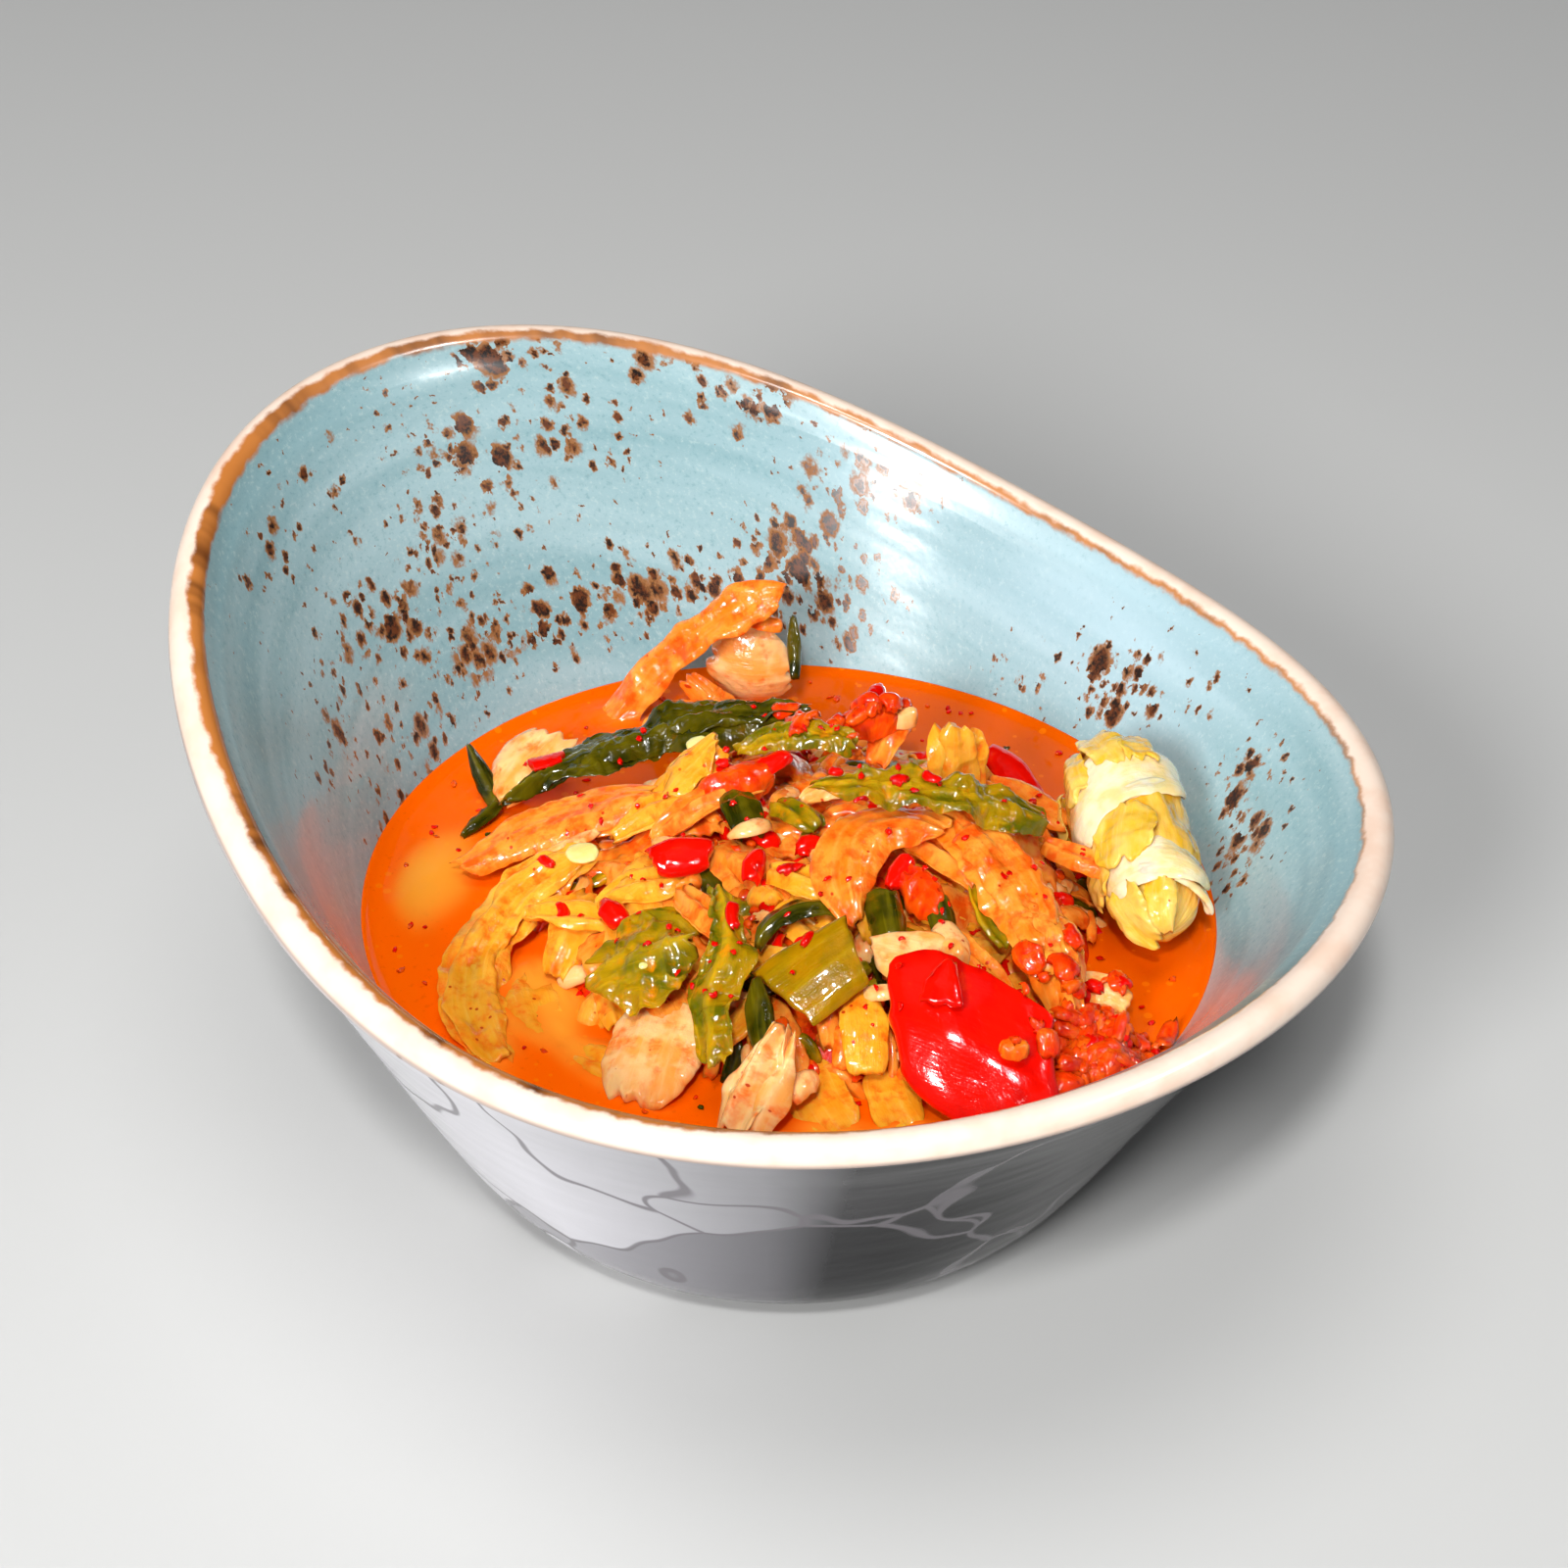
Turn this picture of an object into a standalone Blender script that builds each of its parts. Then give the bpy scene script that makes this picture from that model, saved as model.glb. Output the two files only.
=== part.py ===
"""Kimchi in a stoneware bowl with a sloping rim.

The bowl is turned like a pot and its rim is then pulled up at the back (+Y). The broth fills it to a flat
level, the chopped kimchi lies in the broth as one mound, and the large pieces lie on and beside the mound.
Units are metres in Blender; the sizes below are in millimetres. +Z is up, and the origin lies on the table
under the middle of the bowl's outline.
"""

import math

import bmesh
import bpy
from mathutils import Vector

MM = 0.001

# Driving dimensions of the bowl, in mm.
AXIS_Y = -4.9             # the pot's turning axis, ahead of the origin because the back flares out further
FOOT_HEIGHT = 2.0
FOOT_OUTER = 31.5
FOOT_INNER = 28.0
BASE_RADIUS = 36.0        # of the body, where it starts above the foot
FLARE = 21.0              # how much wider the wall is 49 mm up
FLARE_HEIGHT = 49.0
FLARE_POWER = 0.6
TOP_FLARE = 0.0037        # extra outward sweep, per mm of height squared
WALL = 4.4
LIP_RADIUS = WALL / 2
RIM_MEAN = 55.0           # height of the lip's centre above the foot, before the rim is pulled
ROUND_PART = 0.2          # share of the height that the pull leaves round
UNDER_LIP = 0.35          # how far the wall stands back under the lip
FLOOR_FLAT = 32.0
EDGE = 0.4                # rounding of the foot ring and the floor's edge
ON_AXIS = 1e-6
STEPS = 52

# Driving dimensions of what is in it, in mm above the table.
BROTH_LEVEL = 32.2
GAP = 0.35                # clearance between neighbours
GROWTH = 0.5              # how far a piece's room is grown, which leaves the gap at its corners too
MOUND_X = 1.0
MOUND_Y = -10.0
MOUND_RADIUS = 37.0
MOUND_PEAK = 43.0
MOUND_EDGE = 27.0
MOUND_FLOOR = 8.5
MOUND_NARROWING = 0.35    # how much narrower the mound is at the pot's floor
LUMP = 0.8
ROLL_BACK = (39.0, -19.0, 40.0)
ROLL_FRONT = (22.0, -44.0, 37.0)
ROLL_RADIUS = 7.2

# Places on the heap are given from the diner's seat, at the pot's front left corner: how far right of the pot's
# axis, how far away, and how high above the table. Headings are degrees, 0 to the right and 90 straight away.
SEAT = -45.0

# Each sheet follows one arc. The arc's middle is at its place; there it runs along the heading, and from end to
# end it turns and rises by so much. The hump is how far the ends drop below the middle. The sheet is as wide as
# its three widths say, leans from level by an angle that lifts its left side, and is crowned by its bulge.
GREEN = (0.40, 0.42, 0.05)
DARK_GREEN = (0.06, 0.14, 0.03)
PALE = (0.90, 0.66, 0.40)
ORANGE = (0.92, 0.48, 0.16)
YELLOW = (0.85, 0.68, 0.25)
RED = (0.75, 0.02, 0.01)


def sheet(name, colour, place, heading, length, widths, turn=0, rise=0, hump=0, lean=0, bulge=1, thick=1.2,
          cells=7):
    return dict(name=name, colour=colour, place=place, heading=heading, length=length, widths=widths, turn=turn,
                rise=rise, hump=hump, lean=lean, bulge=bulge, thick=thick, cells=cells)


SHEETS = [
    sheet("large_pepper", RED, (21, -36, 40), -20, 20, (4, 14, 4), rise=-4, lean=40, bulge=2.5, thick=2,
          cells=9),
    sheet("green_stalk", GREEN, (4, -27, 43), 25, 9, (10, 9, 8), rise=4, lean=25, thick=2.2, cells=5),
    sheet("petal", PALE, (8, -9, 47), 50, 21, (2, 6, 2), turn=-160, rise=5, hump=1, lean=10, cells=9),
    sheet("long_leaf", ORANGE, (26, -13, 44), -60, 28, (6, 8, 9), turn=-25, rise=-9, hump=1, bulge=1.5,
          thick=1.6, cells=9),
    sheet("olive_leaf", GREEN, (16, -5, 52), 5, 25, (3, 5.5, 4.5), turn=20, rise=-5, hump=2, lean=10, thick=1,
          cells=9),
    sheet("standing_fold", YELLOW, (20, 13, 44), -70, 3, (7, 6, 4), rise=-9, cells=6),
    sheet("arch_leaf", ORANGE, (-12, 39, 44), 0, 22, (4, 5, 2), turn=-15, rise=20, hump=3, lean=45, cells=9),
    sheet("arch_leg", ORANGE, (-9, 38, 34), -15, 6, (2, 3, 2), rise=-5, lean=45, bulge=0.5, cells=5),
    sheet("back_stem", PALE, (-5, 43, 38), -10, 10, (8, 12, 5), lean=90, bulge=2.5, thick=2.4),
    sheet("left_stem", PALE, (-32, 21, 36), 45, 9, (4, 9, 6), rise=5, bulge=1.5, thick=1.8),
    sheet("dark_leaf", DARK_GREEN, (-17, 20, 41), 15, 36, (3, 7.5, 2.5), turn=-35, rise=6, hump=1, bulge=1.5,
          cells=10),
    sheet("orange_strip", ORANGE, (-28, 6, 38), 10, 22, (3, 7, 4.5), turn=-35, rise=8, lean=10, bulge=1.2),
    sheet("yellow_leaf", YELLOW, (-35, -13, 33), 255, 37, (4, 5, 3.5), turn=105, rise=-6, hump=-1, lean=-10,
          bulge=0.6, cells=10),
    sheet("front_leaf", GREEN, (-7, -27, 43), -90, 23, (2.5, 4.5, 4), turn=-20, rise=-7, hump=1, thick=1,
          cells=9),
    sheet("front_lobe", GREEN, (-16, -23, 41), 180, 11, (8, 11, 11), rise=-4, lean=-10, thick=1),
    sheet("front_left_stem", PALE, (-14, -31, 34), -105, 11, (4, 9, 4.5), rise=-4, thick=2),
    sheet("front_stem", PALE, (-2, -39, 37), -120, 8, (2, 9, 4), rise=-7, lean=5, thick=2.4),
    sheet("pepper_piece", RED, (-12, -7, 43.5), 5, 7, (3, 5, 4), rise=1, lean=25, bulge=0.4, thick=1.8,
          cells=4),
    sheet("back_pepper", RED, (28, 20, 37), -50, 10, (2.5, 3.5, 2), turn=-30, rise=-3, lean=20, bulge=0.4,
          thick=1.6, cells=5),
    sheet("right_stem", PALE, (36, -22, 37), -25, 5, (2.5, 4, 2), rise=-1, lean=30, bulge=0.4, thick=1.8,
          cells=4),
    sheet("yellow_fold", YELLOW, (-11, 9, 44), 45, 7, (5.5, 6.5, 6), rise=4, cells=5),
    sheet("arc_leaf", GREEN, (1, 12, 47.5), -5, 14, (3.5, 4, 4), turn=-50, rise=2, hump=1, lean=10, bulge=0.8),
    sheet("pale_leaf", PALE, (13, -24, 43), -15, 7, (3.5, 7, 5), lean=20, bulge=0.8, cells=5),
]


# --- helpers -----------------------------------------------------------------------------------------------

def clear_scene():
    for old in list(bpy.data.objects):
        bpy.data.objects.remove(old, do_unlink=True)


def new_collection(name):
    collection = bpy.data.collections.new(name)
    bpy.context.scene.collection.children.link(collection)
    return collection


def material(name, colour, roughness):
    made = bpy.data.materials.new(name)
    made.use_nodes = True
    shader = made.node_tree.nodes["Principled BSDF"]
    shader.inputs["Base Color"].default_value = (*colour, 1.0)
    shader.inputs["Roughness"].default_value = roughness
    shader.inputs["Metallic"].default_value = 0.0
    return made


def keep(obj, name, collection, finish):
    """Names the object, gives it its material and moves it to its collection."""
    obj.name = name
    obj.data.name = name
    for old in list(obj.users_collection):
        old.objects.unlink(obj)
    collection.objects.link(obj)
    obj.data.materials.clear()
    obj.data.materials.append(finish)
    obj.data.shade_smooth()
    obj.data.set_sharp_from_angle(angle=math.radians(50))
    return obj


def evaluated_mesh(obj):
    graph = bpy.context.evaluated_depsgraph_get()
    return bpy.data.meshes.new_from_object(obj.evaluated_get(graph))


def turned(profile):
    """Turns a profile of (radius, height) points in mm about Z, and returns the closed mesh as an object."""
    data = bpy.data.meshes.new("turned")
    points = [(r * MM, 0.0, z * MM) for r, z in profile]
    data.from_pydata(points, [(i, i + 1) for i in range(len(points) - 1)], [])
    blank = bpy.data.objects.new("turned", data)
    bpy.context.scene.collection.objects.link(blank)
    screw = blank.modifiers.new("Turn", "SCREW")
    screw.steps = screw.render_steps = STEPS
    screw.use_merge_vertices = True
    screw.merge_threshold = 0.00005
    screw.use_smooth_shade = True
    mesh = evaluated_mesh(blank)
    bpy.data.objects.remove(blank)
    made = bpy.data.objects.new("turned", mesh)
    bpy.context.scene.collection.objects.link(made)
    weld_and_face_out(made)
    return made


def weld_and_face_out(obj):
    edit = bmesh.new()
    edit.from_mesh(obj.data)
    bmesh.ops.remove_doubles(edit, verts=edit.verts, dist=0.00002)
    loose = [edge for edge in edit.edges if not edge.link_faces]
    bmesh.ops.delete(edit, geom=loose, context="EDGES")
    bmesh.ops.recalc_face_normals(edit, faces=edit.faces)
    edit.to_mesh(obj.data)
    edit.free()


# --- the bowl's surface ------------------------------------------------------------------------------------

def rim_height(a):
    """Height of the lip's centre above the foot; a is the angle from the high back."""
    return RIM_MEAN + 8.5 * math.cos(a) + 5.7 * math.cos(2 * a) + 0.8 * math.cos(3 * a)


def rim_spread(a):
    """How much further out than round the rim stands."""
    return -0.037 * math.cos(a) + 0.017 * math.cos(2 * a) + 0.016 * math.cos(3 * a)


def turned_radius(z):
    """Outer radius of the pot at a height above the foot, as turned."""
    return BASE_RADIUS + FLARE * (max(z, 0.0) / FLARE_HEIGHT) ** FLARE_POWER + TOP_FLARE * z * z


def pulled_radius(a, z):
    """Outer radius once the rim is pulled."""
    share = max(0.0, z) / rim_height(a)
    return turned_radius(z) * (1 + rim_spread(a) * min(share, 1.1) ** 3)


def pull_rim(obj):
    """Raises and spreads the turned wall; the lower fifth and the foot stay round."""
    for vertex in obj.data.vertices:
        x, y, z = vertex.co / MM
        radius = math.hypot(x, y)
        if radius < ON_AXIS or z < 0.0:
            continue
        a = math.atan2(-x, y)
        share = min(max((z / RIM_MEAN - ROUND_PART) / (1 - ROUND_PART), 0.0), 1.0) ** 1.5
        raised = z + (rim_height(a) - RIM_MEAN) * share
        moved = radius + pulled_radius(a, raised) - turned_radius(z)
        vertex.co = Vector((-moved * math.sin(a), moved * math.cos(a), raised)) * MM


def stand_on_table(obj):
    """Moves a turned mesh from the pot's own frame to the part's frame."""
    for vertex in obj.data.vertices:
        vertex.co += Vector((0, AXIS_Y, FOOT_HEIGHT)) * MM


def inner_profile(low, high, count):
    """Points of the inside wall, one wall thickness in from the outer one, from bottom to top."""
    points = []
    step = 0.1
    for i in range(count):
        z = low + (high - low) * (i / (count - 1)) ** 1.4
        slope = (turned_radius(z + step) - turned_radius(z - step)) / (2 * step)
        length = math.hypot(1.0, slope)
        points.append((turned_radius(z) - WALL / length, z + WALL * slope / length))
    return points


def inner_radius(z):
    """Inside radius of the turned pot at a height above the foot, between the profile's points."""
    points = inner_profile(0.4, RIM_MEAN, 60)
    for (r0, z0), (r1, z1) in zip(points, points[1:]):
        if z0 <= z <= z1:
            return r0 + (r1 - r0) * (z - z0) / (z1 - z0)
    return points[0][0]


def bowl_profile():
    """The closed profile: over the lip, down the outer side, the foot, the underside, the floor, and up."""
    lip_middle = turned_radius(RIM_MEAN) - LIP_RADIUS
    turns = [math.radians(turn) for turn in range(150, -1, -30)]
    lip = [(lip_middle + LIP_RADIUS * math.cos(t), RIM_MEAN + LIP_RADIUS * math.sin(t)) for t in turns]
    outer = [(turned_radius(RIM_MEAN * share) - UNDER_LIP, RIM_MEAN * share)
             for share in (0.95, 0.85, 0.7, 0.54, 0.38, 0.24, 0.13, 0.06, 0.02)]
    foot = [(BASE_RADIUS - 1.2, 0.0), (FOOT_OUTER, 0.0), (FOOT_OUTER, EDGE - FOOT_HEIGHT),
            (FOOT_OUTER - EDGE, -FOOT_HEIGHT), (FOOT_INNER + EDGE, -FOOT_HEIGHT),
            (FOOT_INNER, EDGE - FOOT_HEIGHT), (FOOT_INNER - EDGE, 0.0), (0.0, 0.0)]
    floor = [(0.0, WALL), (FLOOR_FLAT * 0.6, WALL), (FLOOR_FLAT, WALL + EDGE)]
    inside = inner_profile(1.2, RIM_MEAN - 3.0, 9)
    return lip + outer + foot + floor + inside + lip[:1]


def make_bowl(collection, finish):
    bowl = turned(bowl_profile())
    pull_rim(bowl)
    stand_on_table(bowl)
    return keep(bowl, "bowl", collection, finish)


# --- the broth ---------------------------------------------------------------------------------------------

def make_broth(collection, finish):
    """The broth: the inside of the pot up to the level, just clear of the glaze."""
    top = BROTH_LEVEL - FOOT_HEIGHT
    bottom = WALL + EDGE + GAP
    wall = [(inner_radius(z) - GAP - 0.1, z) for z in (top, 25.0, 20.0, 15.0, 10.0, 7.0, bottom + 0.5)]
    broth = turned([(0.0, top)] + wall + [(FLOOR_FLAT - 4.0, bottom), (0.0, bottom)])
    for vertex in broth.data.vertices:
        x, y, z = vertex.co / MM
        radius = math.hypot(x, y)
        if radius > ON_AXIS:
            a = math.atan2(-x, y)
            spread = radius + pulled_radius(a, z) - turned_radius(z)
            vertex.co = Vector((-spread * math.sin(a), spread * math.cos(a), z)) * MM
    stand_on_table(broth)
    return keep(broth, "broth", collection, finish)


# --- the mound of chopped kimchi ---------------------------------------------------------------------------

def mound_top(x, y):
    """Top of the mound, an uneven dome."""
    away = math.hypot(x - MOUND_X, y - MOUND_Y) / MOUND_RADIUS
    dome = MOUND_EDGE + (MOUND_PEAK - MOUND_EDGE) * max(0.0, 1 - away * away) ** 0.6
    lumps = math.sin(0.42 * x + 0.9) * math.cos(0.37 * y) + 0.6 * math.sin(0.8 * y + 0.3 * x)
    return dome + LUMP * lumps


def make_mound(collection, finish):
    """A ball reshaped: its upper half follows the dome, its lower half narrows towards the pot's floor."""
    bpy.ops.mesh.primitive_uv_sphere_add(segments=36, ring_count=14, radius=1.0)
    mound = bpy.context.object
    for vertex in mound.data.vertices:
        unit = vertex.co.normalized()
        a = math.atan2(unit.y, unit.x)
        reach = MOUND_RADIUS * math.hypot(unit.x, unit.y)
        reach *= 0.965 + 0.03 * math.sin(3 * a + 0.5) + 0.02 * math.sin(7 * a)
        if unit.z < 0:
            reach *= 1 - MOUND_NARROWING * unit.z * unit.z
        x = MOUND_X + reach * math.cos(a)
        y = MOUND_Y + reach * math.sin(a)
        z = mound_top(x, y) if unit.z >= 0 else MOUND_EDGE + (MOUND_EDGE - MOUND_FLOOR) * unit.z
        vertex.co = Vector((x, y, z)) * MM
    weld_and_face_out(mound)
    return keep(mound, "kimchi_mound", collection, finish)


# --- the large pieces --------------------------------------------------------------------------------------

def from_seat(right, away, height):
    """A place given from the diner's seat, in mm on the table."""
    turned = math.radians(SEAT)
    x = right * math.cos(turned) - away * math.sin(turned)
    y = right * math.sin(turned) + away * math.cos(turned)
    return Vector((x, AXIS_Y + y, height))


def along(piece, share):
    """A point on a piece's arc, from 0 at its start to 1 at its end."""
    right, away, height = piece["place"]
    way = share - 0.5
    heading = math.radians(piece["heading"])
    turn = math.radians(piece["turn"])
    if turn:
        radius = piece["length"] / turn
        right += radius * (math.sin(heading + turn * way) - math.sin(heading))
        away += radius * (math.cos(heading) - math.cos(heading + turn * way))
    else:
        right += piece["length"] * way * math.cos(heading)
        away += piece["length"] * way * math.sin(heading)
    height += piece["rise"] * way - 4 * piece["hump"] * way * way
    return from_seat(right, away, height)


def width_along(widths, share):
    """Width between three stated widths: at the start, the middle and the end."""
    start, middle, end = widths
    if share < 0.5:
        return start + (middle - start) * math.sin(math.pi * share)
    return end + (middle - end) * math.sin(math.pi * share)


def make_sheet(piece, collection):
    """A cut leaf, stem or skin: a grid bent along the piece's arc, leaning to one side, and thickened."""
    bpy.ops.mesh.primitive_grid_add(x_subdivisions=piece["cells"], y_subdivisions=3, size=2.0)
    sheet = bpy.context.object
    up = Vector((0, 0, 1))
    lean = math.radians(piece["lean"])
    for vertex in sheet.data.vertices:
        share = (vertex.co.x + 1) / 2
        across = vertex.co.y
        here = along(piece, share)
        ahead = along(piece, min(share + 0.02, 1.0)) - along(piece, max(share - 0.02, 0.0))
        ahead.normalize()
        level = up.cross(ahead).normalized()
        top = ahead.cross(level)
        side = level * math.cos(lean) + top * math.sin(lean)
        face = top * math.cos(lean) - level * math.sin(lean)
        half = width_along(piece["widths"], share) / 2
        crown = piece["bulge"] * (1 - across * across) * math.sin(math.pi * (0.15 + 0.7 * share))
        vertex.co = (here + side * across * half + face * crown) * MM
    thick = sheet.modifiers.new("Thickness", "SOLIDIFY")
    thick.thickness = piece["thick"] * MM
    thick.offset = 0.0
    finish = material(piece["name"], piece["colour"], 0.3)
    return keep(sheet, piece["name"], collection, finish)


def make_roll(collection, finish):
    """A rolled cabbage leaf: a long ball, blunt at its ends, with shallow folds round and along it."""
    bpy.ops.mesh.primitive_uv_sphere_add(segments=20, ring_count=12, radius=1.0)
    roll = bpy.context.object
    back, front = Vector(ROLL_BACK), Vector(ROLL_FRONT)
    ahead = (front - back).normalized()
    level = Vector((0, 0, 1)).cross(ahead).normalized()
    top = ahead.cross(level)
    for vertex in roll.data.vertices:
        t = vertex.co.z
        a = math.atan2(vertex.co.y, vertex.co.x)
        blunt = max(0.0, 1 - abs(t) ** 3) ** 0.5
        folds = 1 + 0.05 * math.sin(9 * t + a) + 0.04 * math.sin(4 * a)
        radius = ROLL_RADIUS * blunt * folds * (1 - 0.12 * t)
        middle = (back + front) / 2 + (front - back) * t / 2
        vertex.co = (middle + (level * math.cos(a) + top * math.sin(a)) * radius) * MM
    weld_and_face_out(roll)
    return keep(roll, "cabbage_roll", collection, finish)


# --- fitting them together ---------------------------------------------------------------------------------

def make_cutter(solid, cutters):
    """The room a solid takes up: its own shape grown by the gap."""
    grown = bpy.data.objects.new(solid.name + "_room", evaluated_mesh(solid))
    cutters.objects.link(grown)
    grown.data.materials.clear()
    moves = [vertex.normal * GROWTH * MM for vertex in grown.data.vertices]
    for vertex, move in zip(grown.data.vertices, moves):
        vertex.co += move
    grown.hide_render = True
    grown.display_type = "WIRE"
    return grown


def make_room(solid, cutters):
    for cutter in cutters:
        cut = solid.modifiers.new(cutter.name, "BOOLEAN")
        cut.operation = "DIFFERENCE"
        cut.solver = "EXACT"
        cut.object = cutter


def main():
    clear_scene()
    dish = new_collection("kimchi_bowl")
    rooms = new_collection("rooms")
    make_bowl(dish, material("blue_glaze", (0.36, 0.56, 0.60), 0.2))
    broth = make_broth(dish, material("broth", (0.90, 0.20, 0.01), 0.1))
    mound = make_mound(dish, material("kimchi", (0.88, 0.36, 0.06), 0.3))
    roll = make_roll(dish, material("cabbage_roll", (0.85, 0.72, 0.30), 0.3))
    sheets = [make_sheet(piece, dish) for piece in SHEETS]
    above = [make_cutter(solid, rooms) for solid in [roll] + sheets]
    make_room(broth, above + [make_cutter(mound, rooms)])
    make_room(mound, above)


main()
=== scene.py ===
# %% [markdown]
# # Kimchi in a stoneware bowl
# The bowl, the broth and the heap of cut cabbage were built as plain solids in real size. This file gives
# them their looks. Everything is placed by the solids it stands for, so that nothing has to be fitted later.

# %% Load the solids
import math

import bmesh
import bpy
import numpy as np
from mathutils import Matrix, Vector
from mathutils.bvhtree import BVHTree


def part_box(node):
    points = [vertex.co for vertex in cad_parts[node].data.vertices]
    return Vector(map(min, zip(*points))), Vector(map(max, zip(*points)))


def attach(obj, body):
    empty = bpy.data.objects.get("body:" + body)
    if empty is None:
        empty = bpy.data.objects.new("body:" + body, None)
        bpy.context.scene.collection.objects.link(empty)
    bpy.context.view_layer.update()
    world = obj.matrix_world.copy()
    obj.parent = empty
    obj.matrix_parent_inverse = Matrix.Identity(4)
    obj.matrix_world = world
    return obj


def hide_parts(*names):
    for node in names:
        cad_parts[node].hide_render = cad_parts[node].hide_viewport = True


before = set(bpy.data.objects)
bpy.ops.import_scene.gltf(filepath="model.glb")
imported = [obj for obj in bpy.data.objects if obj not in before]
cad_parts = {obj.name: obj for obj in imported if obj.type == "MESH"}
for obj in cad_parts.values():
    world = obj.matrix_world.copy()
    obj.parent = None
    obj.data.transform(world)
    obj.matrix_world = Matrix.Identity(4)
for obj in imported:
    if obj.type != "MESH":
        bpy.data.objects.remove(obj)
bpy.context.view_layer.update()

MM = 0.001
print("solids:", len(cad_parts))

# %% [markdown]
# A place is given as shares of a solid's box, from its lowest corner (0, 0, 0) to its highest (1, 1, 1). All
# shapes are then worked out in millimetres, because a leaf's thickness reads better as 1.2 than as 0.0012.

# %% Places
def corners(solid):
    low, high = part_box(solid)
    return np.array(low) / MM, np.array(high) / MM


def places(solid, shares):
    low, high = corners(solid)
    return low + (high - low) * np.array(shares, dtype=float)


bowl_low, bowl_high = corners("bowl")
BROTH_TOP = corners("broth")[1][2]
print("bowl, mm:", np.round(bowl_high - bowl_low, 1), "broth level, mm:", round(BROTH_TOP, 1))

# %% [markdown]
# The camera looks down into the bowl from the front left, so that the high back of the rim stands up behind
# the food. A long lens from far away keeps the bowl's sides from spreading.

# %% Camera
CAMERA_AROUND = math.radians(45)      # from straight ahead to the front left corner
CAMERA_DOWN = math.radians(35.4)
CAMERA_ROLL = math.radians(1.4)
CAMERA_DISTANCE = 416.6
CAMERA_LENS = 79.3
SENSOR_WIDTH = 36.0
AIMED_AT = (0.569, 0.532, 0.539)      # shares of the bowl's box
aimed_at = Vector(places("bowl", AIMED_AT))
level = math.cos(CAMERA_DOWN)
looks = Vector((level * math.sin(CAMERA_AROUND), level * math.cos(CAMERA_AROUND), -math.sin(CAMERA_DOWN)))
flat_side = Vector((math.cos(CAMERA_AROUND), -math.sin(CAMERA_AROUND), 0.0))
sideways = flat_side * math.cos(CAMERA_ROLL) + flat_side.cross(looks) * math.sin(CAMERA_ROLL)
camera_data = bpy.data.cameras.new("camera")
camera_data.lens = CAMERA_LENS
camera_data.sensor_width = SENSOR_WIDTH
camera = bpy.data.objects.new("camera", camera_data)
bpy.context.scene.collection.objects.link(camera)
turn = Matrix((sideways, sideways.cross(looks), -looks)).transposed()
camera.matrix_world = Matrix.Translation((aimed_at - looks * CAMERA_DISTANCE) * MM) @ turn.to_4x4()
bpy.context.scene.camera = camera
print("camera distance, mm:", round(camera.location.length / MM))

# %% [markdown]
# A soft key lamp stands at the left, and a wide lamp overhead and a pale sky fill its shadows. Wet food
# shows its own deep colour when nothing large is mirrored in it, so reflections don't see those three. They
# see three small lamps instead: one puts the bright glint on the glaze, and two high up give the wet leaves
# their sparks. Of these only the high lamp also lights the bowl. The floor is a pale sheet.

# %% Lamps and floor
def lamp(name, towards, distance, wide, tall, power, mirrored=True, lights=True):
    data = bpy.data.lights.new(name, "AREA")
    data.shape = "ELLIPSE"
    data.size = wide
    data.size_y = tall
    data.energy = power
    made = bpy.data.objects.new(name, data)
    place = Vector(towards).normalized() * distance
    made.matrix_world = Matrix.Translation(place) @ place.to_track_quat("Z", "Y").to_matrix().to_4x4()
    made.visible_glossy = mirrored
    made.visible_diffuse = lights
    bpy.context.scene.collection.objects.link(made)
    return made


lamp("glint_lamp", (-0.85, -0.235, 0.505), 0.9, 0.13, 0.08, 12.0, lights=False)
lamp("high_lamp", (-0.50, -0.42, 0.85), 0.9, 0.08, 0.08, 3.8)
lamp("spark_lamp", (0.35, -0.55, 0.80), 0.9, 0.07, 0.07, 3.2, lights=False)
lamp("top_lamp", (-0.1, 0.0, 1.0), 1.0, 0.6, 0.6, 3.6, mirrored=False)
lamp("key_lamp", (-0.90, -0.35, 0.62), 1.1, 0.28, 0.28, 10.0, mirrored=False)

SKY_STRENGTH = 0.13
FLOOR_WIDTH = 8.0         # metres
sky = bpy.data.worlds.new("sky")
sky.use_nodes = True
sky.node_tree.nodes["Background"].inputs["Color"].default_value = (0.95, 0.97, 1.0, 1.0)
sky.node_tree.nodes["Background"].inputs["Strength"].default_value = SKY_STRENGTH
sky.cycles_visibility.glossy = False
bpy.context.scene.world = sky
bpy.context.scene.view_settings.view_transform = "Standard"

bpy.ops.mesh.primitive_plane_add(size=FLOOR_WIDTH)
floor = bpy.context.object
floor.name = "floor"
floor_finish = bpy.data.materials.new("floor")
floor_finish.use_nodes = True
floor_shader = floor_finish.node_tree.nodes["Principled BSDF"]
floor_shader.inputs["Base Color"].default_value = (0.56, 0.56, 0.55, 1.0)
floor_shader.inputs["Roughness"].default_value = 0.6
floor.data.materials.append(floor_finish)

# %% [markdown]
# Smooth noise gives leaves their wrinkles and edges their unevenness. Blender has noise for one point at a
# time; a lattice of mixed-up whole numbers does the same for a whole array at once.

# %% Smooth noise
MIXERS = (73856093, 19349663, 83492791)      # large whole numbers, one for each direction
SEED_MIXER = 374761393
LAST_MIXER = 1274126177


def lattice(cells, seed):
    mixed = (cells[..., 0] * MIXERS[0]) ^ (cells[..., 1] * MIXERS[1]) ^ (cells[..., 2] * MIXERS[2])
    mixed = mixed ^ (seed * SEED_MIXER)
    mixed = (mixed ^ (mixed >> 13)) * LAST_MIXER
    return ((mixed ^ (mixed >> 16)) & 0xFFFF) / 32767.5 - 1.0


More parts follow.
